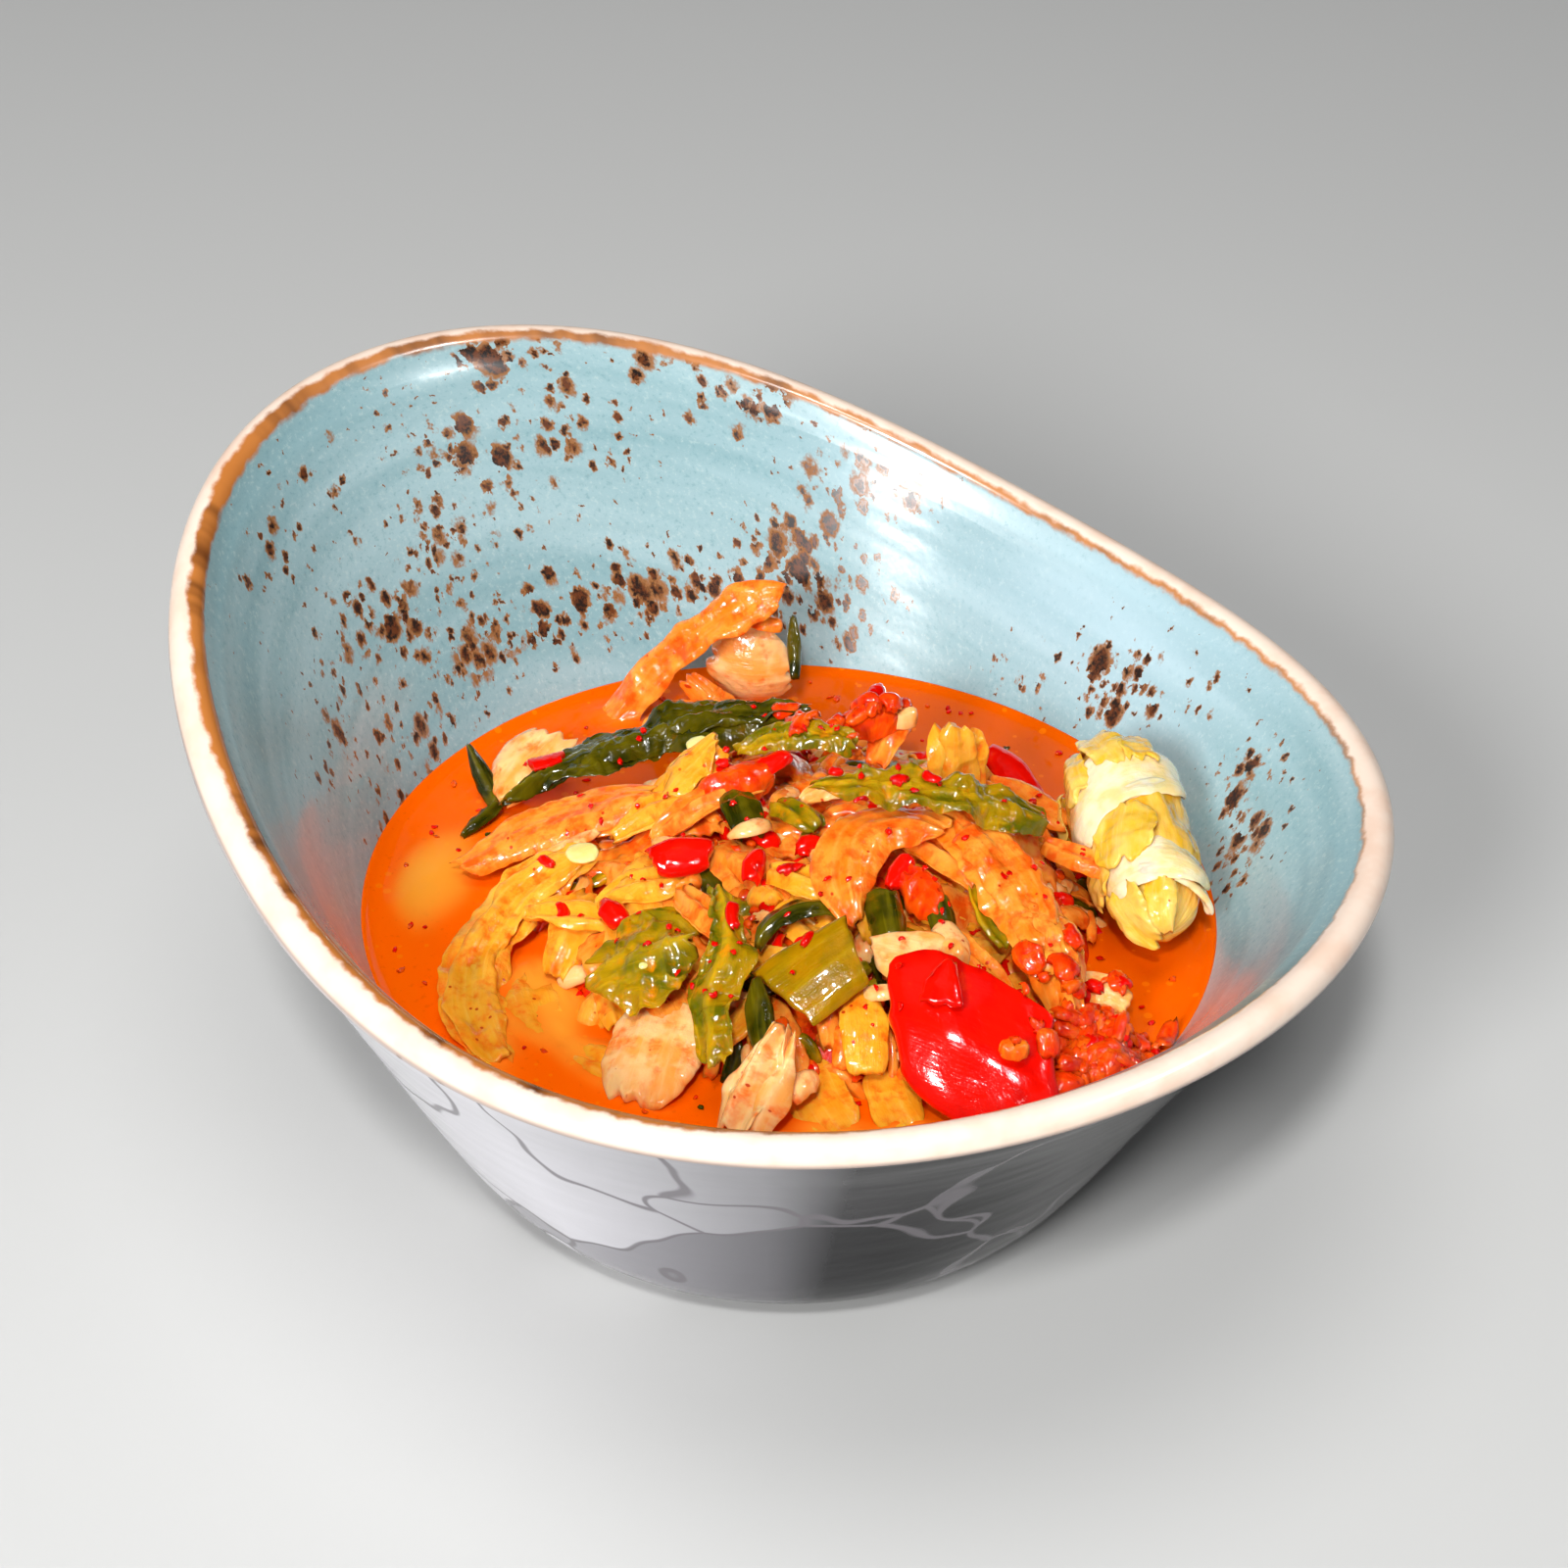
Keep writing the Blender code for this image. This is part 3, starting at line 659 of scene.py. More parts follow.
def read_sheet(solid, root, shown=(-0.5, -0.5, 1.0)):
    """A sheet's line, from its solid: middles, sides and half widths. shown is where its good face looks."""
    rings = rings_of(solid, root)
    middles = np.array([ring.mean(axis=0) for ring in rings])
    ahead = unit(np.gradient(middles, axis=0))
    widest = max(range(len(rings)), key=lambda k: np.ptp(rings[k], axis=0).max())
    side = np.linalg.svd(rings[widest] - middles[widest])[2][0]
    if np.cross(ahead[widest], side) @ np.array(shown) < 0:
        side = -side
    broadest = np.ptp((rings[widest] - middles[widest]) @ side)
    sides = [side] * len(rings)
    for order in (range(widest, len(rings)), range(widest, -1, -1)):
        last = side
        for k in order:
            axes = np.linalg.svd(rings[k] - middles[k])
            broad = np.ptp((rings[k] - middles[k]) @ side) > 0.6 * broadest
            clear = axes[1][0] > CLEARLY_FLAT * axes[1][1] and broad
            own = axes[2][0] * np.sign(axes[2][0] @ last) if clear else last
            last = unit(own - ahead[k] * (own @ ahead[k]))
            sides[k] = last
    sides = np.array(sides)
    faces = unit(np.cross(ahead, sides))
    half = np.array([np.abs((ring - m) @ s).max() for ring, m, s in zip(rings, middles, sides)])
    crown = []
    for ring, m, s, f, h in zip(rings, middles, sides, faces, half):
        out = np.abs((ring - m) @ s) > 0.6 * h
        lift = (ring - m) @ f
        crown.append(lift[~out].mean() - lift[out].mean() if (~out).any() and out.any() else 0.0)
    return {"middle": middles, "side": sides, "half": half, "crown": np.array(crown) * 1.1}


tried = read_sheet("long_leaf", (0, 1, 0))
print("long leaf: rings", len(tried["half"]), "widths, mm", np.round(2 * tried["half"], 1))

# %% [markdown]
# Scraps that are too small or too deep in the broth to be solids get a listed line. Their places are given
# from the diner's seat at the front left corner: how far right of the pot's axis, how far away, and how
# high above the broth. A line is one arc, with a heading (0 to the right, 90 straight away), a turn, a rise
# and a hump.

# %% Lines given one by one
SEAT = math.radians(-45)


def from_seat(right, away, lift):
    x = right * np.cos(SEAT) - away * np.sin(SEAT)
    y = right * np.sin(SEAT) + away * np.cos(SEAT)
    return np.stack([x, AXIS_Y + y, BROTH_TOP + lift + 0 * x], axis=-1)


def arc_line(place, heading, length, widths, turn=0, rise=0, hump=0, lean=0, crown=0.5, count=9):
    way = np.linspace(-0.5, 0.5, count)
    towards = np.radians(heading + turn * way)
    steps = np.stack([np.cos(towards), np.sin(towards)], -1) * length / (count - 1)
    path = np.cumsum(steps, axis=0)
    path -= path[count // 2]
    lift = place[2] + rise * way - 4 * hump * way ** 2
    middle = from_seat(place[0] + path[:, 0], place[1] + path[:, 1], lift)
    ahead = unit(np.gradient(middle, axis=0))
    level = unit(np.cross([0, 0, 1], ahead))
    top = np.cross(ahead, level)
    lean = math.radians(lean)
    half = np.interp(way, [-0.5, 0, 0.5], widths) / 2
    return {"middle": middle, "side": level * math.cos(lean) + top * math.sin(lean), "half": half,
            "crown": np.full(count, float(crown))}


print("seat of the heap's middle:", np.round(from_seat(0.0, 0.0, 0.0), 1))

# %% [markdown]
# ## Leaves
# A leaf is one closed sheet: a front and a back grid that meet at the rim, where the thickness runs out.
# Across, it bends like a shallow gutter and is pleated; towards its rims it ruffles; along it run ribs; all
# over it is wrinkled like blistered cabbage. Each of these is one term, so that a stem, a skin and a
# crinkled leaf differ in numbers only. The knife left its ends blunt and slanted, so they narrow a little
# but don't come to a point.

# %% Leaf maker
def smooth_through(values, count):
    """A smooth curve through the rows of values, read at even steps."""
    values = np.asarray(values, dtype=float)
    padded = np.concatenate([2 * values[:1] - values[1:2], values, 2 * values[-1:] - values[-2:-1]])
    at = np.linspace(0, len(values) - 1 - 1e-9, count)
    k = at.astype(int)
    t = (at - k).reshape(-1, *[1] * (values.ndim - 1))
    a, b, c, d = padded[k], padded[k + 1], padded[k + 2], padded[k + 3]
    return (2 * b + (c - a) * t + (2 * a - 5 * b + 4 * c - d) * t ** 2 + (3 * b - a - 3 * c + d) * t ** 3) / 2


def leaf_frame(line, rows, widths, wide, longer, twist):
    """The leaf's middle, directions and half width at each of its rows. widths replaces the line's own."""
    middle = np.array(line["middle"], dtype=float)
    tail = unit(middle[-1] - middle[-2]) * longer
    head = unit(middle[0] - middle[1]) * longer
    middle[-1] += tail
    middle[0] += head
    half = line["half"]
    if widths is not None:
        half = np.interp(np.linspace(0, 1, len(middle)), np.linspace(0, 1, len(widths)), widths) / 2
    half = np.maximum(smooth_through(half, rows), 0.3) * wide
    centre = smooth_through(middle, rows)
    side = unit(smooth_through(line["side"], rows))
    ahead = unit(np.gradient(centre, axis=0))
    side = unit(side - ahead * np.sum(side * ahead, -1, keepdims=True))
    face = np.cross(ahead, side)
    angle = np.radians(twist) * np.linspace(-0.5, 0.5, rows)[:, None]
    turned = side * np.cos(angle) + face * np.sin(angle)
    face = face * np.cos(angle) - side * np.sin(angle)
    return centre, turned, face, ahead, half, smooth_through(line["crown"], rows)


def leaf_sheet(line, seed, rows=80, columns=28, thick=1.0, widths=None, wide=1.0, longer=0.0, twist=0.0,
               lift=0.0, crowned=0.7, rounding=0.35, ends=6.0, slant=0.0, ragged=0.14, ruffle=0.5,
               ruffle_size=4.0, wrinkle=0.2, wrinkle_size=2.0, ribs=0.0, rib_count=4, pleats=0.0,
               pleat_count=2.0, midrib=0.0, sway=0.4, skew=0.0):
    """Points (rows, columns, 2, 3) of a leaf's front and back, and its values. Sizes are in mm."""
    centre, side, face, ahead, half, crown = leaf_frame(line, rows, widths, wide, longer, twist)
    crown = crown * crowned
    v = np.sin(np.linspace(-np.pi / 2, np.pi / 2, columns))
    U, V = np.meshgrid(np.linspace(0, 1, rows), v, indexing="ij")
    end = 2 * U - 1
    along = U * np.linalg.norm(np.diff(centre, axis=0), axis=-1).sum()
    rim = np.stack([along, np.sign(V) * 9.0, np.full_like(U, seed)], -1)
    uneven = 1.3 * noise(rim, 3.5, seed) + 0.3 * noise(rim, 1.1, seed + 1)
    reach = half[:, None] * (1 - rounding * np.abs(end) ** ends) * (1 + ragged * uneven)
    bend = 2 * np.arctan(1.2 * (crown / half)[:, None]) + 0 * V
    bend = np.where(np.abs(bend) < 1e-3, 1e-3, bend)
    across = reach * np.sin(V * bend) / np.sin(bend)
    gutter = reach * (np.cos(V * bend) - np.cos(bend)) / np.sin(bend)
    here = np.stack([along, across, np.full_like(U, 31.0 * seed)], -1)
    torn = np.stack([3 * V, 2 * np.sign(end), np.full_like(U, seed)], -1)
    push = end ** 5 * half[:, None] * (slant * V + 1.4 * ragged * noise(torn, 1.0, seed + 11)) + skew * across
    waves = noise(rim, ruffle_size, seed + 2) + 0.45 * noise(rim, ruffle_size / 2.3, seed + 3)
    wave = ruffle * np.abs(V) ** 1.7 * waves
    blister = 1 - 2 * np.abs(rough_noise(here, wrinkle_size, seed + 4))
    drift = 0.25 * noise(here, 7.0, seed + 5)
    rib = np.maximum(0, np.cos(np.pi * rib_count * (V + drift))) ** 3 * np.clip(1.15 - np.abs(V), 0, 1)
    pleat = np.cos(np.pi * pleat_count * V + 2.4 * noise(rim * (1, 0, 1), 8.0, seed + 12) + seed)
    spine = np.exp(-(V / 0.22) ** 2) * (1 - 0.6 * U)
    lifted = lift + gutter - crown[:, None] * 0.35 + wave + wrinkle * blister + pleats * pleat + ribs * rib
    lifted = lifted + midrib * spine
    body = thick * (1 + 0.25 * noise(here, 3.0, seed + 6)) * (0.55 + 0.45 * (1 - V ** 2)) + midrib * spine
    body = body * np.sqrt(np.clip(1 - np.abs(V) ** 10, 0, 1)) * np.sqrt(np.clip(1 - np.abs(end) ** 26, 0, 1))
    sheet = centre[:, None] + side[:, None] * across[..., None] + face[:, None] * lifted[..., None]
    sheet = sheet + ahead[:, None] * push[..., None]
    sheet = sheet + sway * np.stack([noise(sheet, 7.0, seed + 7 + k) for k in range(3)], -1)
    front = sheet + face[:, None] * (body / 2)[..., None]
    back = sheet - face[:, None] * (body / 2)[..., None]
    pale_part = np.maximum(rib * min(1.0, 4 * ribs), spine * min(1.0, 3 * midrib))
    pale_part = np.maximum(pale_part, np.clip(pleat, 0, 1) ** 3 * min(1.0, pleats))
    values = {"rib": pale_part, "dip": 0.5 - 0.5 * blister, "leaf_place": here}
    return np.stack([front, back], 2), values


def join_sheets(name, sheets):
    """One mesh of many sheets, each closed at its rim."""
    points, faces, first = [], [], 0
    values = {}
    for grid, own in sheets:
        rows, columns = grid.shape[:2]
        size = rows * columns
        points += [grid[:, :, 0].reshape(-1, 3), grid[:, :, 1].reshape(-1, 3)]
        faces += [grid_faces(rows, columns, first), grid_faces(rows, columns, first + size, flip=True)]
        first += 2 * size
        for key, numbers in own.items():
            flat = numbers.reshape(size, -1)
            values.setdefault(key, []).extend([flat, flat])
    values = {key: np.concatenate(parts).squeeze() for key, parts in values.items()}
    return make_mesh(name, np.concatenate(points), np.concatenate(faces), values)


tried_grid = leaf_sheet(tried, seed=1)[0]
print("a leaf has", tried_grid.shape[0] * tried_grid.shape[1] * 2, "points")

# %% [markdown]
# ## Wet food finishes
# Cut cabbage in chilli broth is pale flesh under a thin orange stain: the stain gathers in the dips, ribs
# and fibres stay pale, and flecks of chilli stick anywhere. One group paints all of that from four colours,
# so each kind of leaf is one call. Light goes a little way into flesh, which subsurface scattering gives,
# and the wet skin over it is a clear coat.

# %% Stained flesh group
flesh, given, gives = new_group(
    "stained flesh",
    [("Place", "Vector", None), ("Body", "Color", None), ("Second", "Color", None), ("Stain", "Color", None),
     ("Pale", "Color", None), ("Rib", "Float", 0.0), ("Dip", "Float", 0.5), ("Stained", "Float", 0.5)],
    [("Color", "Color", None), ("Fibre", "Float", None)],
)
place = given["Place"]
lumps = cloud(flesh, place, 4.0, 2.0, 0.6)
fibres = cloud(flesh, stretch(flesh, place, (0.14, 1.5, 1.0)), 1.0, 2.0, 0.65)
colour = mix(flesh, step(flesh, lumps, 0.40, 0.62), given["Body"], given["Second"])
colour = mix(flesh, calc(flesh, "MULTIPLY", step(flesh, fibres, 0.50, 0.74), 0.3), colour, given["Pale"])
colour = mix(flesh, calc(flesh, "MULTIPLY", given["Rib"], 0.6), colour, given["Pale"])
in_dips = calc(flesh, "MULTIPLY", given["Dip"], 0.30)
gathered = calc(flesh, "ADD", cloud(flesh, place, 1.9, 3.0, 0.65), in_dips)
threshold = calc(flesh, "SUBTRACT", 0.86, calc(flesh, "MULTIPLY", given["Stained"], 0.34))
stained = step(flesh, calc(flesh, "SUBTRACT", gathered, threshold), -0.12, 0.20)
colour = mix(flesh, calc(flesh, "MULTIPLY", stained, 0.85), colour, given["Stain"])
fleck_cells = node(flesh, "TexVoronoi", {"Vector": place, "Scale": 0.62})
fleck_lot = node(flesh, "SeparateColor", {"Color": fleck_cells.outputs["Color"]}).outputs["Blue"]
fleck_near = step(flesh, fleck_cells.outputs["Distance"], 0.17, 0.10)
fleck = calc(flesh, "MULTIPLY", fleck_near, step(flesh, fleck_lot, 0.80, 0.84))
colour = mix(flesh, calc(flesh, "MULTIPLY", fleck, 0.9), colour, (0.50, 0.015, 0.001))
flesh.links.new(colour, gives["Color"])
flesh.links.new(fibres, gives["Fibre"])
print("group:", flesh.name)


# %% A wet finish from its colours
def wet_finish(name, body, second, stain, pale, stained=0.5, gloss=0.22, soft=0.32, relief=0.00018):
    """Body and second colour mix in soft lumps; the stain lies in the dips, the pale colour on ribs."""
    finish, tree, shader = new_finish(name)
    place = vector_of(tree, "leaf_place")
    inputs = {"Place": place, "Rib": value_of(tree, "rib"), "Dip": value_of(tree, "dip"), "Stained": stained}
    for key, colour in {"Body": body, "Second": second, "Stain": stain, "Pale": pale}.items():
        inputs[key] = (*colour, 1.0)
    skin = use(tree, flesh, inputs)
    beads = cloud(tree, place, 0.55, 2.0, 0.6)
    height = calc(tree, "ADD", calc(tree, "MULTIPLY", skin["Fibre"], 0.6), calc(tree, "MULTIPLY", beads, 0.5))
    plug(tree, shader, Base_Color=skin["Color"], Normal=bump(tree, height, relief), Roughness=gloss,
         Specular_IOR_Level=0.15, Coat_Weight=1.0, Coat_Roughness=0.04, Coat_IOR=1.36,
         Subsurface_Weight=soft, Subsurface_Scale=0.0016, Subsurface_Radius=(1.0, 0.35, 0.12))
    return finish


# %% The kinds of flesh and skin
orange_flesh = wet_finish("orange_flesh", (0.92, 0.19, 0.007), (0.94, 0.29, 0.028), (0.88, 0.070, 0.001),
                          (0.95, 0.40, 0.075), 0.80)
pale_flesh = wet_finish("pale_flesh", (0.94, 0.52, 0.20), (0.93, 0.34, 0.06), (0.90, 0.13, 0.003),
                        (0.95, 0.60, 0.30), 0.56)
yellow_flesh = wet_finish("yellow_flesh", (0.94, 0.37, 0.022), (0.92, 0.30, 0.010), (0.90, 0.12, 0.002),
                          (0.95, 0.52, 0.10), 0.66)
roll_flesh = wet_finish("roll_flesh", (0.92, 0.54, 0.10), (0.80, 0.43, 0.022), (0.90, 0.31, 0.015),
                        (0.94, 0.66, 0.28), 0.28)
rib_flesh = wet_finish("rib_flesh", (0.94, 0.76, 0.48), (0.93, 0.64, 0.26), (0.90, 0.40, 0.06),
                       (0.95, 0.80, 0.56), 0.22)
olive_flesh = wet_finish("olive_flesh", (0.34, 0.19, 0.001), (0.10, 0.10, 0.001), (0.74, 0.22, 0.001),
                         (0.72, 0.42, 0.01), 0.48)
stalk_flesh = wet_finish("stalk_flesh", (0.36, 0.165, 0.0003), (0.25, 0.135, 0.0003), (0.50, 0.15, 0.0005),
                         (0.46, 0.28, 0.004), 0.12)
dark_flesh = wet_finish("dark_flesh", (0.016, 0.018, 0.0002), (0.075, 0.058, 0.0005), (0.22, 0.08, 0.001),
                        (0.20, 0.16, 0.004), 0.20, soft=0.05)
red_skin = wet_finish("red_skin", (0.80, 0.004, 0.0005), (0.62, 0.002, 0.0003), (0.90, 0.045, 0.001),
                      (0.84, 0.008, 0.001), 0.12, gloss=0.14, soft=0.08, relief=0.00006)
mash = wet_finish("mash", (0.82, 0.035, 0.0005), (0.90, 0.095, 0.002), (0.58, 0.006, 0.0003),
                  (0.92, 0.20, 0.01), 0.70)
seed_skin = wet_finish("seed_skin", (0.93, 0.78, 0.28), (0.92, 0.70, 0.20), (0.92, 0.55, 0.08),
                       (0.95, 0.84, 0.42), 0.05)
print("wet finishes:", len([m for m in bpy.data.materials if m.node_tree and "Group" in m.node_tree.nodes]))

# %% [markdown]
# ## The heap's core
# Under the leaves lies chopped kimchi so fine and wet that it reads as one red-orange mash. The core is
# that mash: the heap's solid sunk by a leaf's thickness, with the lumps of the cut pieces as relief. Rays
# cast down on the solid give its height, and rays cast inward at the broth's level give its outline.

# %% Rays on solids
def mesh_tree(*objects):
    """One search tree of some objects' faces, in mm."""
    points, faces = [], []
    for thing in objects:
        first = len(points)
        points += [v.co / MM for v in thing.data.vertices]
        faces += [[first + i for i in p.vertices] for p in thing.data.polygons]
    return BVHTree.FromPolygons(points, faces)


def drop(tree, x, y, start=80.0):
    """Where a ray from above first lands, with the way the surface faces, or None."""
    hit, normal = tree.ray_cast(Vector((x, y, start)), Vector((0, 0, -1)))[:2]
    return None if hit is None else (np.array(hit), np.array(normal))


def heights_under(tree, spots, start=80.0):
    landed = [drop(tree, x, y, start) for x, y in spots]
    return np.array([np.nan if one is None else one[0][2] for one in landed])


# %% The heap's core
CORE_BELOW = 1.6
CORE_ROWS, CORE_COLUMNS = 60, 160
CORE_DROPS = BROTH_TOP - np.array([8.0, 16.0, 21.0, 22.6, 23.0])
mound_low, mound_high = corners("kimchi_mound")
mound_middle = (mound_low + mound_high) / 2
mound_tree = mesh_tree(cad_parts["kimchi_mound"])
turns_round = np.linspace(0, 2 * np.pi, CORE_COLUMNS, endpoint=False)
reach_round = []
for a in turns_round:
    out = Vector((math.cos(a), math.sin(a), 0))
    start = Vector((*mound_middle[:2], BROTH_TOP - 2.0)) + out * 60
    reach_round.append((mound_tree.ray_cast(start, -out)[0].xy - Vector(mound_middle[:2])).length - 0.8)
core_shares = np.linspace(0, 1, CORE_ROWS) ** 0.8
core_reach = core_shares[:, None] * np.array(reach_round)[None, :]
core_x = mound_middle[0] + core_reach * np.cos(turns_round)
core_y = mound_middle[1] + core_reach * np.sin(turns_round)
core_z = heights_under(mound_tree, np.stack([core_x, core_y], -1).reshape(-1, 2)).reshape(core_x.shape)
core_z = np.where(np.isnan(core_z), BROTH_TOP - 2.0, core_z) - CORE_BELOW
for _ in range(3):
    core_z = (core_z + np.roll(core_z, 1, 1) + np.roll(core_z, -1, 1)) / 3
core_top = np.stack([core_x, core_y, core_z], -1)
fading = 1 - core_shares[:, None] ** 4
core_top[..., 2] += 1.3 * noise(core_top, 5.0, 3) * fading + 0.8 * rough_noise(core_top, 2.2, 4) * fading
inward = np.array([0.97, 0.85, 0.6, 0.3, 0.0])
core_under = np.stack([mound_middle[0] + (core_x[-1] - mound_middle[0]) * inward[:, None],
                       mound_middle[1] + (core_y[-1] - mound_middle[1]) * inward[:, None],
                       np.repeat(CORE_DROPS[:, None], CORE_COLUMNS, 1)], -1)
core_points = np.concatenate([core_top, core_under])
core_values = {"leaf_place": core_points, "rib": 0 * core_points[..., 0],
               "dip": 0.5 - 0.5 * rough_noise(core_points, 1.6, 9)}
core = make_mesh("heap_core", core_points, grid_faces(len(core_points), CORE_COLUMNS, close=True),
                 core_values)
settle(core, mash, "kimchi", "kimchi_mound")
core_tree = mesh_tree(core)
print("core top, mm:", round(float(core_z.max()), 1))

# %% [markdown]
# ## The large pieces
# Each large piece takes the line of its own solid, and differs in how thick, ruffled, ribbed and pleated it
# is. The root is the side on which its first ring of points lies. Kimchi leaves lie folded on themselves,
# so some pieces have a second, narrower sheet on the first.

# %% Cut pieces
all_pieces = []


NARROWER = 0.28           # each further layer is this share narrower
LAYER_GAP = 0.9


def cut_piece(name, finish, slot, solid, root, seed, layers=1, **look):
    line = read_sheet(solid, root)
    sheets = []
    for k in range(layers):
        own = dict(look, wide=1 - NARROWER * k, lift=look.get("lift", 0.0) + LAYER_GAP * k)
        sheets.append(leaf_sheet(line, seed + 50 * k, **own))
    piece = join_sheets(name, sheets)
    all_pieces.append(piece)
    return settle(piece, finish, slot, solid)


STEM = {"ragged": 0.12, "ruffle": 0.5, "ruffle_size": 4.5, "wrinkle": 0.22, "wrinkle_size": 3.6,
        "ribs": 0.07, "rib_count": 4, "pleats": 0.12, "pleat_count": 1.4}
RIBBED = {"ragged": 0.18, "ruffle": 0.9, "ruffle_size": 4.0, "wrinkle": 0.38, "wrinkle_size": 3.2,
          "ribs": 0.10, "rib_count": 5, "pleats": 0.26, "pleat_count": 1.2, "crowned": 0.5}
GREEN = {"thick": 0.55, "ragged": 0.20, "ruffle": 1.1, "ruffle_size": 3.0, "wrinkle": 0.45,
         "wrinkle_size": 1.7, "midrib": 0.3, "pleats": 0.3, "pleat_count": 1.4, "crowned": 0.45}

# %% Skins and stalk
cut_piece("pepper_skin", red_skin, "red_pepper", "large_pepper", (-0.4, 0.9, 0.2), seed=11, rows=80,
          columns=52, thick=1.5, widths=(11, 16.5, 17.5, 16.5, 15), longer=-0.5, lift=-2.0, crowned=0.40,
          rounding=0.08, ends=12, skew=-0.62, ragged=0.05, ruffle=0.3, ruffle_size=7.0, wrinkle=0.06,
          wrinkle_size=6.0, sway=0.7)
cut_piece("stalk_section", stalk_flesh, "green_leaf", "green_stalk", (-0.9, 0.3, -0.4), seed=12, rows=60,
          columns=40, thick=1.9, widths=(10, 9.5, 8.5), rounding=0.05, slant=0.25, ragged=0.03, ruffle=0.1,
          wrinkle=0.05, wrinkle_size=3.0, ribs=0.16, rib_count=3, sway=0.3, crowned=0.5)
cut_piece("pepper_chunk", red_skin, "red_pepper", "pepper_piece", (-0.8, 0.6, 0), seed=28, rows=44,
          columns=32, thick=1.9, widths=(3.6, 5.2, 5, 3.6), rounding=0.15, slant=0.3, ragged=0.08,
          ruffle=0.2, wrinkle=0.12, wrinkle_size=3)
cut_piece("pepper_back_strip", red_skin, "red_pepper", "back_pepper", (-0.2, 0.95, 0.2), seed=29, rows=56,
          columns=26, thick=1.6, widths=(2.8, 4, 3.6, 2.6), rounding=0.2, ragged=0.1, wrinkle=0.12,
          wrinkle_size=3)

# %% Pale stems
cut_piece("petal_curl", orange_flesh, "pale_cabbage", "petal", (0, -1, -0.3), seed=13, rows=100, columns=36,
          thick=0.9, **{**STEM, "ruffle": 0.7, "ruffle_size": 3.2, "ribs": 0.2},
          widths=(3.5, 7.5, 7.5, 6, 4.5), slant=0.3)
cut_piece("back_white_stem", pale_flesh, "pale_cabbage", "back_stem", (-0.6, 0.8, 0), seed=19, rows=64,
          columns=48, thick=1.7, **STEM, widths=(8, 11.5, 11, 8), rounding=0.25)
cut_piece("left_white_stem", pale_flesh, "pale_cabbage", "left_stem", (-0.9, 0, -0.45), seed=20, rows=60,
          columns=44, thick=1.5, **STEM, widths=(5, 8.5, 9.5, 7.5), rounding=0.2, slant=-0.2)
cut_piece("front_left_white_stem", pale_flesh, "pale_cabbage", "front_left_stem", (0.85, 0.5, 0.35),
          seed=26, rows=64, columns=44, thick=1.9, **STEM, widths=(8.5, 11.5, 11.5, 9), rounding=0.35,
          lift=0.8, longer=1.0)
cut_piece("front_white_stem", pale_flesh, "pale_cabbage", "front_stem", (0.7, 0.2, 0.65), seed=27, rows=60,
          columns=40, thick=1.6, **{**STEM, "ragged": 0.2, "ruffle": 0.8, "pleats": 0.7}, layers=2,
          longer=1.0, widths=(4.5, 6.5, 8.5, 8), rounding=0.2)
cut_piece("right_white_bit", pale_flesh, "pale_cabbage", "right_stem", (-0.3, 0.95, 0.2), seed=30, rows=40,
          columns=26, thick=1.4, **STEM, longer=0.6, widths=(3.5, 4.6, 3.4), rounding=0.2)
cut_piece("pale_triangle", pale_flesh, "pale_cabbage", "pale_leaf", (-0.5, 0.87, 0), seed=33, rows=50,
          columns=36, thick=0.8, **{**STEM, "ruffle": 0.7}, widths=(3, 7, 8.5), rounding=0.2, slant=0.4)

# %% Orange leaves
cut_piece("long_ribbed_leaf", orange_flesh, "orange_cabbage", "long_leaf", (0, 1, 0), seed=14, rows=100,
          columns=36, thick=0.9, **RIBBED, longer=1.5, widths=(5, 8.5, 9.5, 9, 8, 5.5), rounding=0.2,
          slant=0.3, layers=2)
cut_piece("arched_strip", orange_flesh, "orange_cabbage", "arch_leaf", (-0.45, 0.35, -0.8), seed=17,
          rows=110, columns=32, thick=0.9, **RIBBED, widths=(6, 5, 4.6, 5.2, 6.5, 3.5), rounding=0.2,
          slant=0.5)
cut_piece("arch_second_leg", orange_flesh, "orange_cabbage", "arch_leg", (-0.4, 0.7, 0.6), seed=18, rows=50,
          columns=24, thick=0.8, **RIBBED, longer=2.0, widths=(3, 4, 4.5, 4), rounding=0.2)
cut_piece("smooth_orange_strip", orange_flesh, "orange_cabbage", "orange_strip", (-0.95, 0.3, -0.35),
          seed=22, rows=90, columns=36, thick=0.9,
          **{**RIBBED, "pleats": 0.2, "wrinkle": 0.12, "wrinkle_size": 3.0}, widths=(4, 6, 7.5, 7, 5),
          rounding=0.2, slant=0.3)

# %% Yellow leaves
cut_piece("upright_fold", yellow_flesh, "yellow_cabbage", "standing_fold", (0.1, 0.3, 0.95), seed=16,
          rows=50, columns=32, thick=0.9, **{**RIBBED, "pleats": 0.35, "pleat_count": 1.1, "ribs": 0.04},
          widths=(6.5, 7.5, 6), rounding=0.35, slant=-0.3, layers=2)
cut_piece("hanging_yellow_leaf", yellow_flesh, "yellow_cabbage", "yellow_leaf", (0.9, -0.4, 0.2), seed=23,
          rows=100, columns=34, thick=0.7, **{**RIBBED, "ragged": 0.26, "ruffle": 1.0},
          widths=(5.5, 7, 7.5, 7, 8, 9.5, 7), rounding=0.3, lift=0.8, layers=2)
cut_piece("yellow_peak", yellow_flesh, "yellow_cabbage", "yellow_fold", (-0.85, 0, -0.5), seed=31, rows=56,
          columns=40, thick=0.7, **{**RIBBED, "ruffle": 1.0, "ruffle_size": 3.0}, longer=0.6,
          widths=(6.5, 7.5, 5), rounding=0.2, slant=0.4, layers=2)

